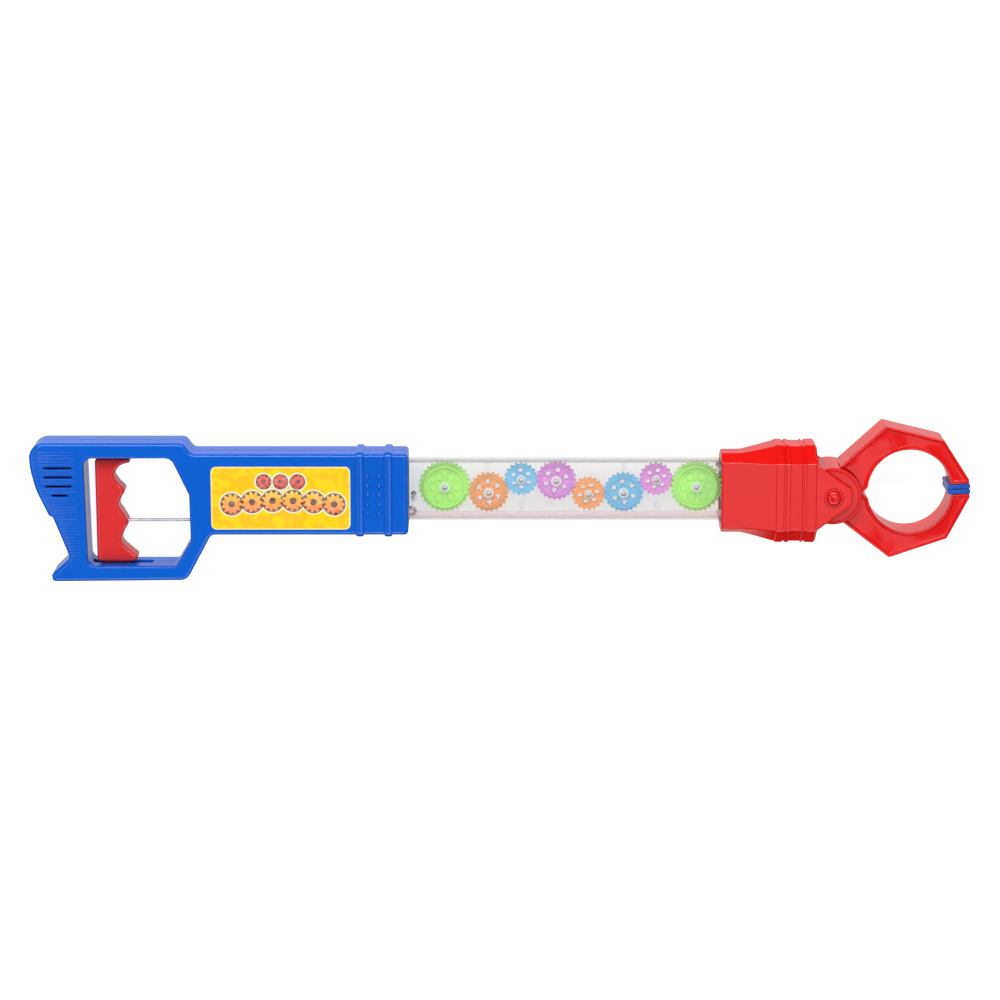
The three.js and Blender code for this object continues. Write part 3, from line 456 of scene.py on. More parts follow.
def prism(name, loops, levels):
    """A closed body along z. loops are (outline, share of the inset): the outer one counter-clockwise."""
    mesh = bmesh.new()
    layers = []
    for height, depth in levels:
        layers.append([
            [mesh.verts.new((p.x, p.y, height)) for p in inset(points, depth * share)]
            for points, share in loops
        ])
    for i in range(len(loops)):
        join_rings(mesh, [layer[i] for layer in layers])
    for layer in (layers[0], layers[-1]):
        corners = [v for ring in layer for v in ring]
        for triangle in geometry.tessellate_polygon([[v.co for v in ring] for ring in layer]):
            mesh.faces.new([corners[k] for k in triangle])
    return new_object(name, mesh)


def slab(name, points, low, high, edge=0, steps=4):
    return prism(name, [(points, 1)], edge_levels(low, high, edge, edge, steps))


def block(name, x, y, z):
    return slab(name, rectangle(x, y), z[0], z[1])


def loft(name, rings, closed=False):
    """A body through rings of points: capped at both ends, or closed on itself as a ring."""
    mesh = bmesh.new()
    made = [[mesh.verts.new(p) for p in ring] for ring in rings]
    join_rings(mesh, made, closed)
    if not closed:
        mesh.faces.new(made[0])
        mesh.faces.new(made[-1])
    return new_object(name, mesh)


def lathe(name, centre, profile, count=64):
    """A body turned about a line along z. profile holds (radius, height), from axis to axis."""
    mesh = bmesh.new()
    rings = []
    for radius, height in profile:
        place = (*centre, height)
        if radius == 0:
            rings.append([mesh.verts.new(place)] * count)
        else:
            rings.append([mesh.verts.new((p.x, p.y, height)) for p in circle(centre, radius, count)])
    for low, high in zip(rings, rings[1:]):
        for i in range(count):
            j = (i + 1) % count
            face = list(dict.fromkeys((low[i], low[j], high[j], high[i])))
            if len(face) > 2:
                mesh.faces.new(face)
    return new_object(name, mesh)


def cylinder(name, centre, radius, low, high, count=48):
    return lathe(name, centre, [(0, low), (radius, low), (radius, high), (0, high)], count)


def wire(name, path, radius, count=16):
    """A round wire along a line of points that all lie at one height."""
    rings = []
    for i, here in enumerate(path):
        heading = (path[min(i + 1, len(path) - 1)] - path[max(i - 1, 0)]).normalized()
        side = Vector((-heading.y, heading.x, 0))
        rings.append([
            here + side * (radius * math.cos(math.tau * k / count))
            + Vector((0, 0, radius * math.sin(math.tau * k / count)))
            for k in range(count)
        ])
    return loft(name, rings)


def combine(body, tools, operation):
    """The body with each tool joined to it, cut from it or intersected with it."""
    for tool in tools:
        step = body.modifiers.new(operation, "BOOLEAN")
        step.operation = operation
        step.solver = "MANIFOLD"
        step.object = tool
        bpy.context.view_layer.update()
        graph = bpy.context.evaluated_depsgraph_get()
        data = bpy.data.meshes.new_from_object(body.evaluated_get(graph))
        body.modifiers.clear()
        if len(data.polygons) == 0:
            raise RuntimeError(f"{operation} of {tool.name} left nothing of {body.name}")
        body.data = data
        bpy.data.objects.remove(tool)
    return body


def cut(body, *tools):
    return combine(body, tools, "DIFFERENCE")


def join(body, *tools):
    return combine(body, tools, "UNION")


def merged(name, bodies):
    """Several separate bodies as one object."""
    mesh = bmesh.new()
    for body in bodies:
        mesh.from_mesh(body.data)
        bpy.data.objects.remove(body)
    return new_object(name, mesh)


def place(body, name, material, slot, ride_on, replaced=(), sharp=32):
    """Puts a finished millimetre body in the frame, with its material, and lets it ride."""
    body.name = name
    body.data.name = name
    body.data.transform(Matrix.Translation(ORIGIN) @ Matrix.Scale(MM, 4))
    body.data.shade_smooth()
    body.data.set_sharp_from_angle(angle=math.radians(sharp))
    even = body.modifiers.new("even_normals", "WEIGHTED_NORMAL")
    even.keep_sharp = True
    body.data.materials.clear()
    body.data.materials.append(material)
    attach(body, ride_on)
    if replaced:
        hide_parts(*replaced)
    return body


# ---- Materials -------------------------------------------------------------------------------------


class Nodes:
    """A new material with its node tree, and short ways to add and link nodes."""

    def __init__(self, name):
        self.material = bpy.data.materials.new(name)
        self.material.use_nodes = True
        self.tree = self.material.node_tree
        self.shader = self.tree.nodes["Principled BSDF"]
        self.place = self.add("ShaderNodeTexCoord").outputs["Object"]

    def add(self, kind, **settings):
        node = self.tree.nodes.new(kind)
        for key, value in settings.items():
            setattr(node, key, value)
        return node

    def link(self, source, target):
        self.tree.links.new(source, target)

    def noise(self, scale, detail=2.0, stretch=(1, 1, 1)):
        mapping = self.add("ShaderNodeMapping")
        mapping.inputs["Scale"].default_value = stretch
        self.link(self.place, mapping.inputs["Vector"])
        texture = self.add("ShaderNodeTexNoise")
        texture.inputs["Scale"].default_value = scale
        texture.inputs["Detail"].default_value = detail
        self.link(mapping.outputs["Vector"], texture.inputs["Vector"])
        return texture.outputs["Fac"]

    def span(self, source, start, end, low=0.0, high=1.0):
        """source, where it goes from start to end, made to go from low to high."""
        node = self.add("ShaderNodeMapRange")
        for name, value in (("From Min", start), ("From Max", end), ("To Min", low), ("To Max", high)):
            node.inputs[name].default_value = value
        self.link(source, node.inputs["Value"])
        return node.outputs["Result"]

    def spread(self, source, low=0.0, high=1.0):
        """A noise, which seldom leaves its middle part, made to go from low to high."""
        return self.span(source, 0.3, 0.7, low, high)

    def math(self, operation, *values):
        node = self.add("ShaderNodeMath", operation=operation)
        for value, socket in zip(values, node.inputs):
            if isinstance(value, float):
                socket.default_value = value
            else:
                self.link(value, socket)
        return node.outputs[0]

    def blend(self, share, low, high):
        node = self.add("ShaderNodeMix", data_type="RGBA")
        self.link(share, node.inputs["Factor"])
        for value, socket in ((low, node.inputs[6]), (high, node.inputs[7])):
            if isinstance(value, tuple):
                socket.default_value = (*value, 1)
            else:
                self.link(value, socket)
        return node.outputs[2]

    def bump(self, height, strength, distance):
        node = self.add("ShaderNodeBump")
        node.inputs["Strength"].default_value = strength
        node.inputs["Distance"].default_value = distance
        self.link(height, node.inputs["Height"])
        self.link(node.outputs["Normal"], self.shader.inputs["Normal"])


PLASTIC_IOR = 1.5
PEEL_SHARE = 0.02  # height of the orange peel against that of the sink waves
EDGE_COVER = 1.8  # how much more a clear wall covers where it is seen on edge
RINGS_PER_CELL = 4.4


def scaled(colour, factor):
    return tuple(min(1.0, c * factor) for c in colour)


def plastic(name, colour, roughness=(0.1, 0.2), shade=0.9, subsurface=0.0, wave=0.1):
    """Glossy moulded plastic: slight flow marks in its colour, uneven gloss, sink waves and orange peel."""
    nodes = Nodes(name)
    flow = nodes.spread(nodes.noise(9, 4, stretch=(1, 3, 3)))
    nodes.link(nodes.blend(flow, scaled(colour, shade), colour), nodes.shader.inputs["Base Color"])
    nodes.link(nodes.spread(nodes.noise(45, 5), *roughness), nodes.shader.inputs["Roughness"])
    nodes.shader.inputs["IOR"].default_value = PLASTIC_IOR
    nodes.shader.inputs["Subsurface Weight"].default_value = subsurface
    nodes.shader.inputs["Subsurface Scale"].default_value = 0.004
    peel = nodes.math("MULTIPLY_ADD", nodes.noise(320, 2), PEEL_SHARE, nodes.noise(38, 1))
    nodes.bump(peel, wave, 0.0012)
    return nodes.material


def clear_plastic(name, colour, alpha):
    """Clear moulded plastic, which shows more of itself where it is seen on edge."""
    nodes = Nodes(name)
    cloud = nodes.spread(nodes.noise(14, 3, stretch=(1, 2, 2)))
    nodes.link(nodes.blend(cloud, scaled(colour, 0.96), colour), nodes.shader.inputs["Base Color"])
    nodes.link(nodes.spread(nodes.noise(60, 3), 0.03, 0.09), nodes.shader.inputs["Roughness"])
    facing = nodes.add("ShaderNodeLayerWeight")
    facing.inputs["Blend"].default_value = 0.35
    cover = nodes.span(facing.outputs["Facing"], 0.0, 1.0, alpha, alpha * EDGE_COVER)
    nodes.link(cover, nodes.shader.inputs["Alpha"])
    nodes.shader.inputs["IOR"].default_value = PLASTIC_IOR
    nodes.bump(nodes.noise(25, 2, stretch=(1, 4, 4)), 0.05, 0.0004)
    return nodes.material


def steel(name):
    """Bright plated steel with fine drawing marks along the arm."""
    nodes = Nodes(name)
    marks = nodes.noise(700, 3, stretch=(0.04, 1, 1))
    nodes.link(nodes.blend(marks, (0.36, 0.35, 0.35), (0.6, 0.58, 0.57)), nodes.shader.inputs["Base Color"])
    nodes.shader.inputs["Metallic"].default_value = 1
    nodes.link(nodes.spread(marks, 0.16, 0.34), nodes.shader.inputs["Roughness"])
    nodes.bump(marks, 0.12, 0.0001)
    return nodes.material


def label_film(name):
    """A yellow film with a faint pattern of overlapping rings."""
    nodes = Nodes(name)
    cells = nodes.add("ShaderNodeTexVoronoi", feature="F1", distance="EUCLIDEAN")
    cells.inputs["Scale"].default_value = 95
    cells.inputs["Randomness"].default_value = 0.75
    nodes.link(nodes.place, cells.inputs["Vector"])
    turns = nodes.math("MULTIPLY", cells.outputs["Distance"], RINGS_PER_CELL * math.pi)
    rings = nodes.span(nodes.math("SINE", turns), -0.15, 0.15)
    warm = nodes.blend(nodes.spread(nodes.noise(18, 2)), (1.0, 0.62, 0.0), (1.0, 0.69, 0.0))
    printed = nodes.blend(rings, warm, (1.0, 0.55, 0.005))
    nodes.link(printed, nodes.shader.inputs["Base Color"])
    nodes.link(nodes.spread(nodes.noise(70, 3), 0.22, 0.34), nodes.shader.inputs["Roughness"])
    nodes.bump(nodes.noise(180, 2), 0.05, 0.0002)
    return nodes.material


def print_fade(name, top, bottom, low, high):
    """Printed ink that fades from the bottom colour at y = low to the top one at y = high, in metres."""
    nodes = Nodes(name)
    split = nodes.add("ShaderNodeSeparateXYZ")
    nodes.link(nodes.place, split.inputs["Vector"])
    ink = nodes.blend(nodes.span(split.outputs["Y"], low, high), bottom, top)
    worn = nodes.blend(nodes.spread(nodes.noise(400, 3), 0, 0.25), ink, (1.0, 0.95, 0.8))
    nodes.link(worn, nodes.shader.inputs["Base Color"])
    nodes.link(nodes.spread(nodes.noise(90, 3), 0.25, 0.4), nodes.shader.inputs["Roughness"])
    return nodes.material


BLUE = plastic("handle_blue", (0.0, 0.115, 0.65), roughness=(0.06, 0.12))
PAD_BLUE = plastic("pad_blue", (0.004, 0.085, 0.5), roughness=(0.15, 0.28))
RED = plastic("claw_red", (0.78, 0.007, 0.006), roughness=(0.05, 0.1), wave=0.35)
WRIST_RED = plastic("wrist_red", (0.79, 0.006, 0.004), roughness=(0.05, 0.1), wave=0.2)
TRIGGER_RED = plastic("trigger_red", (0.73, 0.03, 0.03), roughness=(0.06, 0.12))
WHITE = plastic("inner_white", (0.85, 0.85, 0.82), roughness=(0.35, 0.5))
STEEL = steel("steel")
CLEAR = clear_plastic("tube_clear", (0.95, 0.93, 0.93), 0.05)
# The rear half of the tube is a darker grey copy of the clear plastic: painted shade, which greys all that is
# seen through the tube.
REAR_TUBE_PAINTED_SHADE = clear_plastic("tube_rear_painted_shade", (0.3, 0.285, 0.28), 0.27)
POST_CLEAR = clear_plastic("post_clear", (0.95, 0.93, 0.92), 0.08)
# The pull bar's clear plastic is tinted pink: a painted reflection of the red and orange parts around it.
BAR_CLEAR_PAINTED_REFLECTION = clear_plastic("bar_clear_painted_reflection", (0.84, 0.52, 0.52), 0.2)
LABEL_FILM = label_film("label_yellow")
GEAR_COLOURS = {
    "gear_green": (0.46, 0.98, 0.17),
    "gear_orange": (1.0, 0.38, 0.1),
    "gear_blue": (0.16, 0.58, 0.88),
    "gear_violet": (0.78, 0.28, 0.77),
}
GEAR_GLOSS = (0.18, 0.3)
GEAR_PLASTICS = {
    slot: plastic(slot, colour, GEAR_GLOSS, shade=0.86, subsurface=0.35)
    for slot, colour in GEAR_COLOURS.items()
}
# Paler copies of the gear plastics for the hub walls: painted light, standing for light that shines through
# the translucent gears at their hubs.
HUB_PAINTED_LIGHT_PLASTICS = {
    slot: plastic(f"{slot}_hub", tuple(0.3 * c + 0.66 for c in colour), GEAR_GLOSS, subsurface=0.35)
    for slot, colour in GEAR_COLOURS.items()
}

WIDE_FADE = (-0.02, 0.03)
INKS = {
    name: print_fade(name, *settings)
    for name, settings in {  # the colour at the top and at the bottom, and the heights of the bottom and top
        "label_border": ((1.0, 0.8, 0.28), (1.0, 0.78, 0.25), *WIDE_FADE),
        "print_halo": ((1.0, 0.93, 0.75), (0.95, 0.85, 0.62), *WIDE_FADE),
        "print_outline": ((0.16, 0.02, 0.01), (0.1, 0.012, 0.008), *WIDE_FADE),
        "print_orange": ((1.0, 0.62, 0.0), (0.95, 0.1, 0.015), ORIGIN.y - 12 * MM, ORIGIN.y + 3 * MM),
        "print_red": ((0.85, 0.05, 0.03), (0.6, 0.02, 0.02), ORIGIN.y, ORIGIN.y + 13 * MM),
    }.items()
}

# ---- Handle ----------------------------------------------------------------------------------------


def seat_hole(at, front, deep):
    """Room for a screw's point in the front half, or for its shank and sunk head in the rear half."""
    hole, recess = SCREW["hole"], SCREW["recess"]
    if front:
        return cylinder("screw_hole", at, hole, -PAST, SCREW["point"] + PLAY, 24)
    seat = SCREW["sunk"] + SCREW["depth"] + PLAY - deep
    profile = [(0, -deep - PAST), (recess + RECESS_CHAMFER, -deep - PAST), (recess, -deep + RECESS_CHAMFER)]
    profile += [(recess, seat), (hole, seat), (hole, SCREW_HOLE_END), (0, SCREW_HOLE_END)]
    return lathe("screw_hole", at, profile, 32)


def tube_socket(start, end):
    """Room for the tube's end."""
    y = TUBE_HALF_HEIGHT + PLAY
    z = TUBE_HALF_DEPTH + PLAY
    return block("socket", (start, end), (-y, y), (-z, z))


def handle_half(front):
    """One half shell of the handle, with its grip ribs and barrel dots."""
    sign = 1 if front else -1
    deep = HANDLE_HALF_DEPTH
    start = SEAM + SEAM_EDGE
    levels = [(SEAM, SEAM_EDGE), (start, 0), *edge_levels(start, deep, 0, HANDLE_EDGE, 6)[1:]]
    if not front:
        levels = [(-height, depth) for height, depth in reversed(levels)]
    outer = rounded(HANDLE_CORNERS)
    opening = rounded(OPENING_CORNERS)
    share = OPENING_EDGE / HANDLE_EDGE
    body = prism("handle", [(outer, 1), (list(reversed(opening)), share)], levels)
    inner = deep - HANDLE_WALL
    cavity = slab("cavity", inset(outer, HANDLE_WALL), -inner, inner)
    cavity = cut(
        cavity,
        slab("opening_wall", inset(opening, -HANDLE_WALL), -deep, deep),
        block("end_wall", (TUBE_START - END_WALL, 0), (-FAR, FAR), (-deep, deep)),
        *(cylinder("boss", at, HANDLE_BOSS, -deep, deep, 24) for at in HANDLE_SCREWS),
    )
    slot_x, slot_sunk = TONGUE_SLOT["x"], TONGUE_SLOT["sunk"]
    slot_z = (-TONGUE_SLOT["half_depth"], TONGUE_SLOT["half_depth"])
    rod = ROD_HOLE["half"]
    rod_y = ROD_PATH[0][1]
    cut(
        body,
        cavity,
        tube_socket(TUBE_START - PAST, 0),
        block("window", (TUBE_START - END_WALL - PAST, TUBE_START), WINDOW_Y, (-inner, inner)),
        block("floor_slot", slot_x, (OPENING_FLOOR - slot_sunk, OPENING_FLOOR + PAST), slot_z),
        block("ceiling_slot", slot_x, (OPENING_CEILING - PAST, OPENING_CEILING + slot_sunk), slot_z),
        block("rod_hole", ROD_HOLE["x"], (rod_y - rod, rod_y + rod), (-rod, rod)),
        *(seat_hole(at, front, deep) for at in HANDLE_SCREWS),
    )
    if front:
        vents = (rectangle((x0, x1), (y - VENT_HALF, y + VENT_HALF), 0.5) for y, x0, x1 in VENTS)
        cut(body, *(slab("vent", points, inner - PAST, deep + PAST) for points in vents))
    side = "front" if front else "rear"
    place(body, f"handle_{side}", BLUE, "handle_blue", "arm", [f"handle_{side}_shell"])
    grip_ribs(sign, side)
    barrel_dots(sign, side)


def line_at(line, y):
    """x on a broken line of (y, x) points, at a height y."""
    for (y0, x0), (y1, x1) in zip(line, line[1:]):
        if y1 <= y <= y0:
            return x0 + (x1 - x0) * (y - y0) / (y1 - y0)
    return line[-1][1]


def grip_ribs(sign, side):
    """Fine level ribs across the grip, each a low rounded bar."""
    ribs = []
    face = sign * (HANDLE_HALF_DEPTH - RIBS["sunk"])
    vent_rows = [y for y, _, _ in VENTS]
    count = int((RIBS["top"] - RIBS["bottom"]) / RIBS["pitch"]) + 1
    for k in range(count):
        y = RIBS["top"] - k * RIBS["pitch"]
        if sign > 0 and min(abs(y - row) for row in vent_rows) < RIBS["pitch"] / 2:
            continue
        ends = (line_at(GRIP_LEFT, y), line_at(GRIP_RIGHT, y))
        points = rectangle(ends, (y - RIBS["half"], y + RIBS["half"]), RIBS["corner"])
        low, high = sorted((face, face + sign * (RIBS["rise"] + RIBS["sunk"])))
        ribs.append(slab("rib", points, low, high, RIBS["edge"], 3))
    place(merged("ribs", ribs), f"grip_ribs_{side}", BLUE, "handle_blue", "arm")


def barrel_dots(sign, side):
    """Two columns of small domes on the barrel."""
    steps = 6
    profile = [(0, -DOTS["sunk"]), (DOTS["radius"], -DOTS["sunk"])]
    for k in range(steps):
        angle = math.pi / 2 * k / steps
        profile.append((DOTS["radius"] * math.cos(angle), DOTS["rise"] * math.sin(angle)))
    profile.append((0, DOTS["rise"]))
    raised = [(radius, sign * (HANDLE_HALF_DEPTH + z)) for radius, z in profile]
    rows = [DOTS["top"] - row * DOTS["pitch"] for row in range(DOTS["rows"])]
    dots = [lathe("dot", (x, y), raised, 24) for x in DOTS["x"] for y in rows]
    place(merged("dots", dots), f"barrel_dots_{side}", BLUE, "handle_blue", "arm", sharp=50)


def band_profile(x0, x1, shape):
    """(x, rise) across a raised band: out of the wall, over it and back, with both edges softened."""
    lead = [(x0, -shape["sunk"]), *((x0 + run, rise) for run, rise in shape["edge"])]
    trail = [*((x1 - run, rise) for run, rise in reversed(shape["edge"])), (x1, -shape["sunk"])]
    return lead + trail


def barrel_band(index, x0, x1):
    """A raised rounded band round the barrel, sunk a little in its wall."""
    rings = []
    for x, rise in band_profile(x0, x1, BARREL_BAND):
        height, depth, corner = (size + rise for size in (BARREL_TOP, HANDLE_HALF_DEPTH, HANDLE_EDGE))
        signs = ((-1, -1), (1, -1), (1, 1), (-1, 1))
        ring = rounded([(a * height, b * depth, corner) for a, b in signs], steps=6)
        rings.append([(x, p.x, p.y) for p in ring])
    place(loft("band", rings, closed=True), f"barrel_band_{index}", BLUE, "handle_blue", "arm", sharp=50)


def label():
    """The film and its paler border, with a plain motif of cogs in place of lettering."""
    face = HANDLE_HALF_DEPTH + LABEL["lift"]
    top = HANDLE_HALF_DEPTH + LABEL["top"]
    corner, border = LABEL["corner"], LABEL["border"]
    film = slab("film", rectangle(LABEL["x"], LABEL["y"], corner), face, top - INK, 0.1, 2)
    place(film, "label_film", INKS["label_border"], "label_yellow", "arm", ["front_label"])
    x, y = ((LABEL[key][0] + border, LABEL[key][1] - border) for key in ("x", "y"))
    field = slab("field", rectangle(x, y, corner - border), top - 0.1, top)
    place(field, "label_field", LABEL_FILM, "label_yellow", "arm")
    for layer, (name, grown) in enumerate((("halo", 1.3), ("outline", 0.5))):
        low = top - 0.05 + INK * layer
        high = top + INK * (layer + 1)
        discs = [slab("disc", circle(at, r + grown, 48), low, high) for at, r, _ in BIG_COGS + SMALL_COGS]
        whole = join(discs[0], *discs[1:])
        place(whole, f"label_{name}", INKS[f"print_{name}"], "label_yellow", "arm")
    for name, ink, cogs in (("cogs", "print_orange", BIG_COGS), ("small_cogs", "print_red", SMALL_COGS)):
        fill = merged("fill", [cog(*entry, top + 1.5 * INK, top + 3 * INK) for entry in cogs])
        place(fill, f"label_{name}", INKS[ink], "label_yellow", "arm")


def cog(centre, radius, teeth, low, high):
    """A little printed cog wheel, a flat prism with square teeth."""
    points = [
        Vector(centre) + turned((radius * reach, 0), (k + part) * math.tau / teeth)
        for k in range(teeth)
        for reach, part in COG_TOOTH
    ]
    hole = list(reversed(circle(centre, radius * COG_HOLE, 28)))
    return prism("cog", [(points, 1), (hole, 1)], [(low, 0), (high, 0)])


# ---- Trigger and rod -------------------------------------------------------------------------------


def trigger():
    """The squeezed grip with its three finger scallops, and a sliding tongue above and below."""
    fingers = smooth_line(TRIGGER_FINGERS, 6)
    corners = [(fingers[-1].x, TRIGGER_TOP, TRIGGER_LIP), *TRIGGER_BACK, TRIGGER_NOSE]
    points = [*rounded(corners), *fingers[1:]]
    body = slab("trigger", points, -TRIGGER_HALF_DEPTH, TRIGGER_HALF_DEPTH, TRIGGER_EDGE, 5)
    reach, depth = TONGUE["reach"], TONGUE["half_depth"]
    for y in ((TRIGGER_TOP - PAST, TRIGGER_TOP + reach), (TRIGGER_BOTTOM - reach, TRIGGER_BOTTOM + PAST)):
        points = rectangle(TONGUE["x"], y, TONGUE["corner"])
        join(body, slab("tongue", points, -depth, depth, TONGUE["edge"], 3))
    place(body, "trigger_grip", TRIGGER_RED, "trigger_red", "drive", ["trigger"], sharp=40)


def trigger_rod():
    """The wire from the trigger to its hook in the tube, with the collar that the spring pushes on."""
    hook = [Vector(HOOK["at"]) + turned((HOOK["radius"], 0), math.radians(a)) for a in HOOK["degrees"]]
    path = [Vector((*p, 0)) for p in [*ROD_PATH, *hook]]
    body = wire("rod", path, ROD_RADIUS)
    (x0, x1), radius, edge = COLLAR["x"], COLLAR["radius"], COLLAR["edge"]
    profile = [(0, x0), (radius - edge, x0), (radius, x0 + edge), (radius, x1 - edge)]
    profile += [(radius - edge, x1), (0, x1)]
    collar = lathe("collar", (0, 0), profile, 32)
    collar.data.transform(Matrix.Translation((0, ROD_PATH[0][1], 0)) @ Matrix.Rotation(math.pi / 2, 4, "Y"))
    place(join(body, collar), "steel_rod", STEEL, "steel", "drive", ["trigger_rod"], sharp=40)


# ---- Tube and gears --------------------------------------------------------------------------------


def tube_half(front):
    """One half of the clear box-shaped tube: a channel with rounded outer corners, and its posts."""
    sign = 1 if front else -1
    height = TUBE_HALF_HEIGHT
    inside = height - TUBE_WALL
    floor = sign * (TUBE_HALF_DEPTH - TUBE_WALL)
    face = sign * TUBE_HALF_DEPTH
    lip = sign * SEAM
    corners = [
        (-height, lip),
        (-height, face, TUBE_CORNERS["outer"]),
        (height, face, TUBE_CORNERS["outer"]),
        (height, lip),
        (inside, lip),
        (inside, floor, TUBE_CORNERS["inner"]),
        (-inside, floor, TUBE_CORNERS["inner"]),
        (-inside, lip),
    ]
    points = rounded(corners)
    if front:
        points.reverse()
    channel = slab("channel", points, TUBE_START, TUBE_END, 0.15, 2)
    channel.data.transform(Matrix(((0, 0, 1, 0), (1, 0, 0, 0), (0, 1, 0, 0), (0, 0, 0, 1))))
    if front:
        posts = [tube_post(at, AXLE_CAP["radius"], AXLE_CAP["tip"], floor) for at in gear_centres()]
        posts += [tube_post(at, SCREW_POST["radius"], SCREW_POST["tip"], floor) for at in TUBE_SCREWS]
    else:
        posts = [tube_post(at, AXLE["radius"], floor, AXLE["tip"]) for at in gear_centres()]
        posts += [tube_post(at, SPACER_RADIUS, floor, -floor - PLAY) for at in SPACERS]
        posts += [tube_post(at, SCREW_POST["radius"], floor, -SCREW_POST["tip"]) for at in TUBE_SCREWS]
    side = "front" if front else "rear"
    # The rear half takes the darker grey copy: painted shade inside the tube.
    wall = CLEAR if front else REAR_TUBE_PAINTED_SHADE
    place(channel, f"tube_{side}", wall, "tube_clear", "arm", [f"tube_{side}_shell"])
    place(merged("posts", posts), f"tube_posts_{side}", POST_CLEAR, "tube_clear", "arm")


def tube_post(at, radius, low, high, edge=0.3):
    profile = [(0, low), (radius, low), (radius, high - edge), (radius - edge, high), (0, high)]
    return lathe("post", at, profile, 24)


def gear_centres():
    """The middle of each gear and of the pinion, from its node's box."""
    middles = [sum(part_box(name), Vector()) / 2 for name in [*GEARS, "drive_pinion"]]
    return [((middle - ORIGIN) / MM).xy for middle in middles]


def gear_train():
    """Each gear in mesh with the one before it: centre, pitch radius, teeth and the angle of one tooth."""
    train = []
    for name, (teeth, bearing, slot) in GEARS.items():
        radius = teeth * MODULE / 2
        centre, phase = Vector(FIRST_GEAR), 0
        if train:
            _, before, before_radius, before_teeth, before_phase, _ = train[-1]
            angle = math.radians(bearing)
            centre = before + turned((before_radius + radius, 0), angle)
            lead = math.pi - before_teeth * (angle - before_phase)
            phase = angle + math.pi - lead / teeth
        train.append((name, centre, radius, teeth, phase, slot))
    return train


def gear_outline(centre, radius, teeth, phase):
    """Straight-sided teeth, each from its root over its tip, with a corner halfway up both flanks."""
    root, tip, flank = radius - DEDENDUM, radius + ADDENDUM, radius - FLANK["drop"]
    half_flank = (TOOTH_TIP + TOOTH_ROOT) / 2 + FLANK["spread"]
    rise = ((root, TOOTH_ROOT), (flank, half_flank), (tip, TOOTH_TIP))
    tooth = [(reach, -half / reach) for reach, half in rise]
    tooth += [(reach, half / reach) for reach, half in reversed(rise)]
    return [
        Vector(centre) + turned((reach, 0), phase + k * math.tau / teeth + angle)
        for k in range(teeth)
        for reach, angle in tooth
    ]


def star(centre, outer, inner, angle, points=5):
    """A star of the given number of points, whose first point lies at the angle."""
    return [
        Vector(centre) + turned((inner if i % 2 else outer, 0), angle + i * math.pi / points)
        for i in range(2 * points)
    ]


def rim(at, outer, inner, rise, count):
    """A raised round rim on a gear's front, with softened edges."""
    soft = 0.25
    low, high = GEAR_FRONT - RIM_SUNK, GEAR_FRONT + rise
    profile = [(outer, low), (outer, high - soft), (outer - soft, high)]
    profile += [(inner + soft, high), (inner, high - soft), (inner, low)]
    rings = [[(p.x, p.y, z) for p in circle(at, radius, count)] for radius, z in profile]
    return loft("rim", rings, closed=True)


def gear(name, centre, radius, teeth, phase, slot):
    """A toothed disc and its hub, with round holes, or with stars and a rim, or with wells and a rim."""
    angles = [phase + k * math.tau / 6 for k in range(6)]
    holes = [circle(centre, GEAR_BORE, 24)]
    rims = [rim(centre, *RIMS[teeth])] if teeth in RIMS else []
    for a in angles:
        if teeth == 19:
            holes.append(circle(centre + turned((ROUND_HOLES["at"], 0), a), ROUND_HOLES["radius"], 24))
        elif teeth == 23:
            holes.append(star(centre + turned((STARS["at"], 0), a), STARS["outer"], STARS["inner"], a))
        else:
            well = centre + turned((WELLS["at"], 0), a)
            rims.append(rim(well, WELLS["outer"], WELLS["inner"], WELLS["rise"], 32))
    loops = [(gear_outline(centre, radius, teeth, phase), 1), *((list(reversed(hole)), 1) for hole in holes)]
    disc = prism("disc", loops, edge_levels(GEAR_BACK, GEAR_FRONT, GEAR_EDGE, GEAR_EDGE, 1))
    place(merged(name, [disc, *rims]), f"{name}_wheel", GEAR_PLASTICS[slot], slot, name, [name], sharp=30)
    # The hub wall takes the pale copy of its gear's plastic: painted light shining through the hub.
    hub_wall = rim(centre, HUBS["radius"][teeth], GEAR_BORE, HUBS["rise"], 40)
    place(hub_wall, f"{name}_hub", HUB_PAINTED_LIGHT_PLASTICS[slot], slot, name)


# ---- Wrist -----------------------------------------------------------------------------------------


def section_at(x):
    """The wrist's section at x, between the two sections beside it."""
    x = min(max(x, WRIST_SECTIONS[0][0]), WRIST_SECTIONS[-1][0])
    for low, high in zip(WRIST_SECTIONS, WRIST_SECTIONS[1:]):
        if x <= high[0]:
            t = (x - low[0]) / (high[0] - low[0])
            return [a + (b - a) * t for a, b in zip(low, high)]
    return list(WRIST_SECTIONS[-1])


def wrist_ring(x, grown=0.0):
    """The eight-sided section with softened corners, grown by a distance."""
    _, height, depth, flat, strip = section_at(x)
    h, d = height + grown, depth + grown
    f, s = flat + grown / 2, strip + grown / 2
    corner = max(WRIST_CORNER + grown, 0.2)
    corners = [(h, s), (f, d), (-f, d), (-h, s), (-h, -s), (-f, -d), (f, -d), (h, -s)]
    return [(x, p.x, p.y) for p in rounded([(*c, corner) for c in corners], steps=5)]


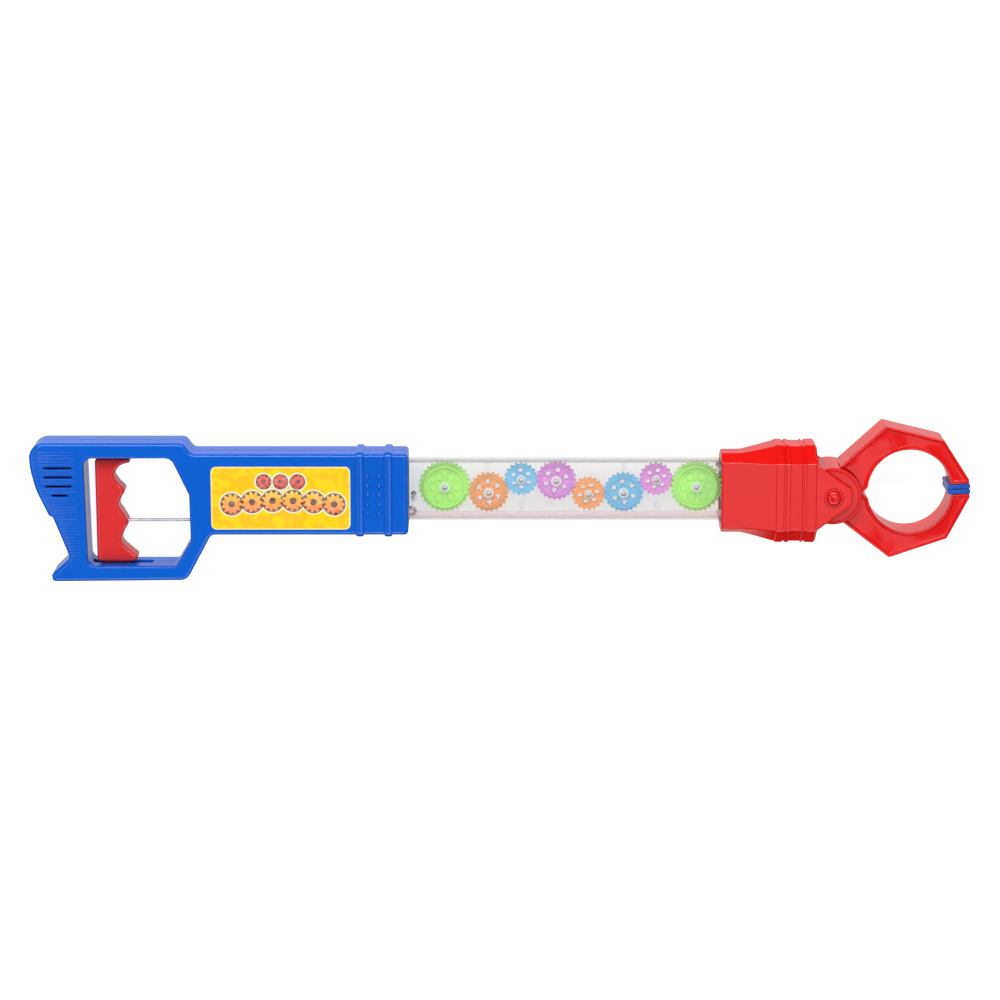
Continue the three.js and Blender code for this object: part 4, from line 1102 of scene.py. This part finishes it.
def wrist_cavity():
    """The wrist's hollow, without the screw bosses and the two ribs that guide the crosshead."""
    rings = [wrist_ring(x, -WRIST_WALL) for x in (TUBE_END + PAST, WRIST_SWELL, WRIST_END + PAST)]
    slim, foot, foot_top = WRIST_BOSS["radius"], WRIST_BOSS["foot"], WRIST_BOSS["foot_top"]
    boss = [(0, -FAR), (foot, -FAR), (foot, foot_top), (slim, foot_top), (slim, FAR), (0, FAR)]
    return cut(
        loft("cavity", rings),
        *(lathe("boss", at, boss, 24) for at in WRIST_SCREWS),
        block("front_rib", WRIST_RIB["x"], WRIST_RIB["y"], (WRIST_RIB["from"], FAR)),
        block("rear_rib", WRIST_RIB["x"], WRIST_RIB["y"], (-FAR, -WRIST_RIB["from"])),
    )


def wrist_half(front):
    """One half shell of the wrist, with its ear beside the claw and its raised marks."""
    sign = 1 if front else -1
    body = loft("wrist", [wrist_ring(x, grown) for x, grown in WRIST_STATIONS])
    other_half = (-FAR, SEAM) if front else (-SEAM, FAR)
    socket = tube_socket(0, TUBE_END + PAST + PLAY)
    cut(body, block("other_half", (-FAR, FAR), (-FAR, FAR), other_half), wrist_cavity(), socket)
    ear_z = sorted((sign * EAR["back"], sign * EAR["front"]))
    join(body, slab("ear", rounded(EAR_CORNERS), *ear_z, EAR["edge"], 4))
    if front:
        join(body, ring_boss())
    deep = section_at(WRIST_BACK_AT)[2]
    pin = cylinder("pin_hole", PIVOT, PIN_HOLE, -FAR, FAR, 40)
    cut(body, pin, *(seat_hole(at, front, deep) for at in WRIST_SCREWS))
    if front:
        cut(body, cylinder("head_hole", PIVOT, HEAD_HOLE["radius"], HEAD_HOLE["from"], FAR))
    side = "front" if front else "rear"
    place(body, f"wrist_{side}", WRIST_RED, "wrist_red", "arm", [f"wrist_{side}_shell"], sharp=15)
    marks = [wrist_mark((WRIST_MARKS["x"], y), sign) for y in WRIST_MARKS["y"]]
    place(merged("marks", marks), f"wrist_marks_{side}", WRIST_RED, "wrist_red", "arm")


def ring_boss():
    """The round step on the front ear that the pin's cap sits in."""
    radius, base, top, edge = (EAR_BOSS[key] for key in ("radius", "base", "top", "edge"))
    profile = [(0, base), (radius, base), (radius, top - edge), (radius - edge, top), (0, top)]
    return lathe("ring_boss", PIVOT, profile, 56)


def wrist_mark(at, sign):
    """A small raised four-armed mark."""
    deep = section_at(at[0])[2]
    radius = WRIST_MARKS["radius"]
    points = star(at, radius, radius * WRIST_MARKS["waist"], WRIST_MARKS["turn"], 4)
    low, high = sorted((sign * (deep - WRIST_MARKS["sunk"]), sign * (deep + WRIST_MARKS["rise"])))
    return prism("mark", [(points, 1)], [(low, 0), (high, 0)])


def wrist_band(index, x0, x1):
    rings = [wrist_ring(x, rise) for x, rise in band_profile(x0, x1, WRIST_BAND)]
    place(loft("band", rings, closed=True), f"wrist_band_{index}", WRIST_RED, "wrist_red", "arm", sharp=40)


# ---- Claw ------------------------------------------------------------------------------------------


def finger_outline():
    """A finger's outline from its hub, along the round mouth to the tip, and back along the outside."""
    radius, steps = MOUTH["radius"], MOUTH["steps"]
    start = math.pi - math.asin(MOUTH["notch"] / radius)
    end = math.asin(MOUTH["tip"] / radius)
    angles = [start + (end - start) * k / steps for k in range(steps + 1)]
    mouth = [(MOUTH["x"] + radius * math.cos(a), radius * math.sin(a)) for a in angles]
    return rounded([FINGER_START, *mouth, *FINGER_OUTSIDE])


def on_claw(points, side):
    """Points of a jaw lying level from the pivot, put where the closed claw has them."""
    own = points if side > 0 else mirrored(points)
    return [turned(p, CLAW_TILT) + Vector(PIVOT) for p in own]


def cam_path(side):
    """The slot that the cross pin follows in a jaw's tail, so that the jaw turns at a constant rate."""
    steps = 12
    return [
        Vector(PIVOT) + turned((TRAVEL * k / steps - CAM["reach"], 0), -side * JAW_SWING * k / steps)
        for k in range(steps + 1)
    ]


def ribbon(path, half_width):
    """A strip of constant width with round ends, along a path."""
    left, right = [], []
    for i, here in enumerate(path):
        heading = (path[min(i + 1, len(path) - 1)] - path[max(i - 1, 0)]).normalized()
        side = Vector((-heading.y, heading.x)) * half_width
        left.append(here + side)
        right.append(here - side)
    out = (path[-1] - path[-2]).normalized() * half_width
    back = (path[0] - path[1]).normalized() * half_width
    cap = [math.radians(angle) for angle in (-60, -30, 0, 30, 60)]
    far_cap = [path[-1] + turned(out, angle) for angle in cap]
    near_cap = [path[0] + turned(back, angle) for angle in cap]
    return [*right, *far_cap, *reversed(left), *near_cap]


def hub(side):
    """A round hub on one side of the middle, with a groove and a stepped face."""
    profile = [(0, MIDDLE_GAP), (HUB_RADIUS, MIDDLE_GAP), *HUB_FACE]
    return lathe("hub", PIVOT, [(radius, -side * z) for radius, z in profile], 96)


def cheek_room(side):
    """The wedge of a ring about the pivot that the crosshead's cheeks slide into."""
    steps = 12
    near, far = CHEEK_ROOM["radii"]
    angles = [math.radians(CHEEK_ROOM["from"] + CHEEK_ROOM["turn"] * k / steps) for k in range(steps + 1)]
    arc = [turned((far, 0), a) for a in angles] + [turned((near, 0), a) for a in reversed(angles)]
    own = arc if side > 0 else mirrored(arc)
    return slab("room", [p + Vector(PIVOT) for p in own], *sorted(-side * z for z in CHEEK_ROOM["z"]))


def pad_pocket(side):
    """Room for a pad's tongue in the finger's tip."""
    x, y = ((PAD_TONGUE[key][0] - PLAY, PAD_TONGUE[key][1] + PLAY) for key in ("x", "y"))
    depth = PAD_TONGUE["half_depth"] + PLAY
    return slab("pocket", on_claw(rectangle(x, y), side), -depth, depth)


def jaw(name, side):
    """A finger with a sunk panel on both faces, its round hub, and the tail with the cam slot."""
    upper = [(FINGER_HALF_DEPTH - drop, depth) for drop, depth in FINGER_RIM + FINGER_PANEL]
    levels = [*((-height, depth) for height, depth in reversed(upper)), *upper]
    finger = prism("finger", [(on_claw(finger_outline(), side), 1)], levels)
    cut(finger, cylinder("room", PIVOT, HUB_ROOM, *sorted((side * FAR, -side * MIDDLE_GAP)), 96))
    round_hub = cut(hub(side), cheek_room(side))
    start, end = CAM["z"]
    path = cam_path(side)
    tail = slab("tail", ribbon(path, CAM["half_tail"]), *sorted((-side * start, -side * end)), CAM["edge"], 2)
    slot = slab("slot", ribbon(path, CAM["half_slot"]), *sorted((side * start, -side * (end + 0.1))))
    bore = cylinder("bore", PIVOT, PIN_HOLE, -FAR, FAR, 40)
    body = cut(join(finger, round_hub, tail), slot, bore, pad_pocket(side))
    place(body, f"{name}_body", RED, "claw_red", f"{name.split('_')[0]}_claw", [name])


def pad(name, side):
    """A tip pad with soft edges, and the tongue that holds it."""
    deep = PAD["half_depth"]
    body = slab("pad", on_claw(rectangle(PAD["x"], PAD["y"], PAD["corner"]), side), -deep, deep, PAD["edge"])
    tongue = on_claw(rectangle(PAD_TONGUE["x"], PAD_TONGUE["y"], PAD_TONGUE["corner"]), side)
    join(body, slab("tongue", tongue, -PAD_TONGUE["half_depth"], PAD_TONGUE["half_depth"]))
    place(body, f"{name}_block", PAD_BLUE, "pad_blue", f"{name.split('_')[0]}_claw", [name])


def pivot_pin():
    body = lathe("pin", PIVOT, PIN_PROFILE, 64)
    place(body, "pivot_cap", WRIST_RED, "wrist_red", "arm", ["pivot_pin"], sharp=50)


# ---- Screws ----------------------------------------------------------------------------------------


def screw(name, at, deep):
    """A pan head screw, seen from the back, with a cross recess in its head."""
    top = SCREW["sunk"] - deep
    seat = top + SCREW["depth"]
    shank, point = SCREW["shank"], SCREW["point"]
    profile = [(radius, top + height) for radius, height in SCREW_CROWN]
    profile += [(SCREW["head"], seat), (shank, seat), (shank, point - SCREW["taper"]), (0, point)]
    body = lathe("screw", at, profile, 40)
    reach, half, turn = (SCREW_CROSS[key] for key in ("reach", "half", "turn"))
    arms = []
    for angle in (turn, turn + math.pi / 2):
        arm = [Vector(at) + turned(p, angle) for p in rectangle((-reach, reach), (-half, half))]
        arms.append(slab("arm", arm, top - PAST, top + SCREW_CROSS["sunk"]))
    place(cut(body, *arms), f"{name}_fastener", STEEL, "steel", "arm", [name], sharp=40)


def small_screw(name, at):
    head = [(radius, height - TUBE_HALF_DEPTH) for radius, height in SMALL_SCREW_HEAD]
    body = lathe("screw", at, head + SMALL_SCREW_POINT, 28)
    place(body, f"{name}_fastener", STEEL, "steel", "arm", [name], sharp=40)


# ---- Kept CAD nodes --------------------------------------------------------------------------------


def dress(node, material):
    """A kept CAD node gets its procedural material and softened edges."""
    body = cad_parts[node]
    body.data.materials.clear()
    body.data.materials.append(material)
    soft = body.modifiers.new("soft_edges", "BEVEL")
    soft.width = 0.15 * MM
    soft.segments = 2
    soft.angle_limit = math.radians(40)


# ---- Studio ----------------------------------------------------------------------------------------

FLOOR = {"half_size": 3, "below": 0.0005, "glow": 0.9}
LAMPS = {  # watts, width and height, place, and the point aimed at, in metres
    "overhead": (2.2, (0.5, 1.4), (0.2, -0.35, 1.9), (0.2, -0.35, 0)),
    "left": (6, (1.35, 1.4), (-1.22, -0.35, 1.9), (-1.22, -0.35, 0)),
    "key": (34, (2.4, 0.9), (0, 1.3, 1.2), (0, 0, 0)),
    "fill": (15, (2.0, 0.8), (0.1, -1.3, 1.3), (0, 0, 0)),
}
CAMERA = {"tilt": math.radians(11.5), "distance": 2.24, "lens": 132.5, "sensor": 36}
WORLD_SHADES = [  # share of the way from straight below to straight above, and the shade there
    (0.0, (0.5, 0.5, 0.5, 1)),
    (0.14, (0.5, 0.5, 0.5, 1)),
    (0.2, (0.03, 0.03, 0.03, 1)),
    (0.52, (0.04, 0.04, 0.04, 1)),
    (0.75, (0.14, 0.14, 0.14, 1)),
    (1.0, (0.14, 0.14, 0.14, 1)),
]


def area_light(name, energy, size, at, aim):
    data = bpy.data.lights.new(name, "AREA")
    data.energy = energy
    data.shape = "RECTANGLE"
    data.size, data.size_y = size
    lamp = bpy.data.objects.new(name, data)
    lamp.location = at
    lamp.rotation_euler = (Vector(aim) - Vector(at)).to_track_quat("-Z", "Y").to_euler()
    bpy.context.scene.collection.objects.link(lamp)


def surroundings():
    """A dim studio round the toy, brighter straight below it, where glossy faces mirror the white floor."""
    world = bpy.data.worlds.new("studio")
    bpy.context.scene.world = world
    world.use_nodes = True
    tree = world.node_tree
    place = tree.nodes.new("ShaderNodeTexCoord")
    split = tree.nodes.new("ShaderNodeSeparateXYZ")
    tree.links.new(place.outputs["Generated"], split.inputs["Vector"])
    shade = tree.nodes.new("ShaderNodeValToRGB")
    height = tree.nodes.new("ShaderNodeMapRange")
    height.inputs["From Min"].default_value = -1
    tree.links.new(split.outputs["Z"], height.inputs["Value"])
    tree.links.new(height.outputs["Result"], shade.inputs["Fac"])
    stops = shade.color_ramp.elements
    stops[0].position, stops[0].color = WORLD_SHADES[0]
    stops[1].position, stops[1].color = WORLD_SHADES[-1]
    for position, colour in WORLD_SHADES[1:-1]:
        stops.new(position).color = colour
    tree.links.new(shade.outputs["Color"], tree.nodes["Background"].inputs["Color"])


def studio():
    """Four soft lamps over a white floor, which glows a little so that it stays white under the toy."""
    surroundings()
    bpy.context.scene.view_settings.view_transform = "Standard"
    for name, settings in LAMPS.items():
        area_light(name, *settings)
    mesh = bmesh.new()
    bmesh.ops.create_grid(mesh, x_segments=8, y_segments=8, size=FLOOR["half_size"])
    floor = new_object("floor", mesh)
    floor.location.z = CAD_BOX[0][2] - FLOOR["below"]
    nodes = Nodes("floor_white")
    cloud = nodes.noise(3, 2)
    nodes.link(nodes.blend(cloud, (0.6, 0.6, 0.6), (0.63, 0.63, 0.63)), nodes.shader.inputs["Base Color"])
    nodes.shader.inputs["Roughness"].default_value = 0.9
    nodes.link(nodes.blend(cloud, (0.98, 0.98, 0.98), (1, 1, 1)), nodes.shader.inputs["Emission Color"])
    nodes.shader.inputs["Emission Strength"].default_value = FLOOR["glow"]
    floor.data.materials.append(nodes.material)
    floor.visible_glossy = False


def camera():
    """Looks down on the front face, a little from the knuckle side, with that side at the top."""
    tilt = CAMERA["tilt"]
    data = bpy.data.cameras.new("camera")
    data.lens = CAMERA["lens"]
    data.sensor_width = CAMERA["sensor"]
    made = bpy.data.objects.new("camera", data)
    back = Vector((0, math.sin(tilt), math.cos(tilt)))
    up = Vector((0, math.cos(tilt), -math.sin(tilt)))
    right = up.cross(back)
    target = Vector((0, 0, ORIGIN.z))
    turn = Matrix((right, up, back)).transposed().to_4x4()
    made.matrix_world = Matrix.Translation(target + back * CAMERA["distance"]) @ turn
    bpy.context.scene.collection.objects.link(made)
    bpy.context.scene.camera = made


# ---- The whole arm ---------------------------------------------------------------------------------

camera()
studio()
for front in (True, False):
    handle_half(front)
    tube_half(front)
    wrist_half(front)
for index, (x0, x1) in enumerate(BARREL_BANDS, 1):
    barrel_band(index, x0, x1)
for index, (x0, x1) in enumerate(WRIST_BANDS, 1):
    wrist_band(index, x0, x1)
label()
trigger()
trigger_rod()
for entry in gear_train():
    gear(*entry)
for jaw_name, pad_name, claw_side in (("upper_jaw", "upper_pad", 1), ("lower_jaw", "lower_pad", -1)):
    jaw(jaw_name, claw_side)
    pad(pad_name, claw_side)
pivot_pin()
for index, at in enumerate(HANDLE_SCREWS, 1):
    screw(f"handle_screw_{index}", at, HANDLE_HALF_DEPTH)
for index, at in enumerate(WRIST_SCREWS, 1):
    screw(f"wrist_screw_{index}", at, section_at(WRIST_BACK_AT)[2])
for index, at in enumerate(TUBE_SCREWS, 1):
    small_screw(f"tube_screw_{index}", at)
for node, material in {
    "return_spring": STEEL,
    "cross_pin": STEEL,
    "crosshead": WHITE,
    "drive_pinion": WHITE,
    # the pull bar's pink tint is a painted reflection
    "pull_bar": BAR_CLEAR_PAINTED_REFLECTION,
}.items():
    dress(node, material)
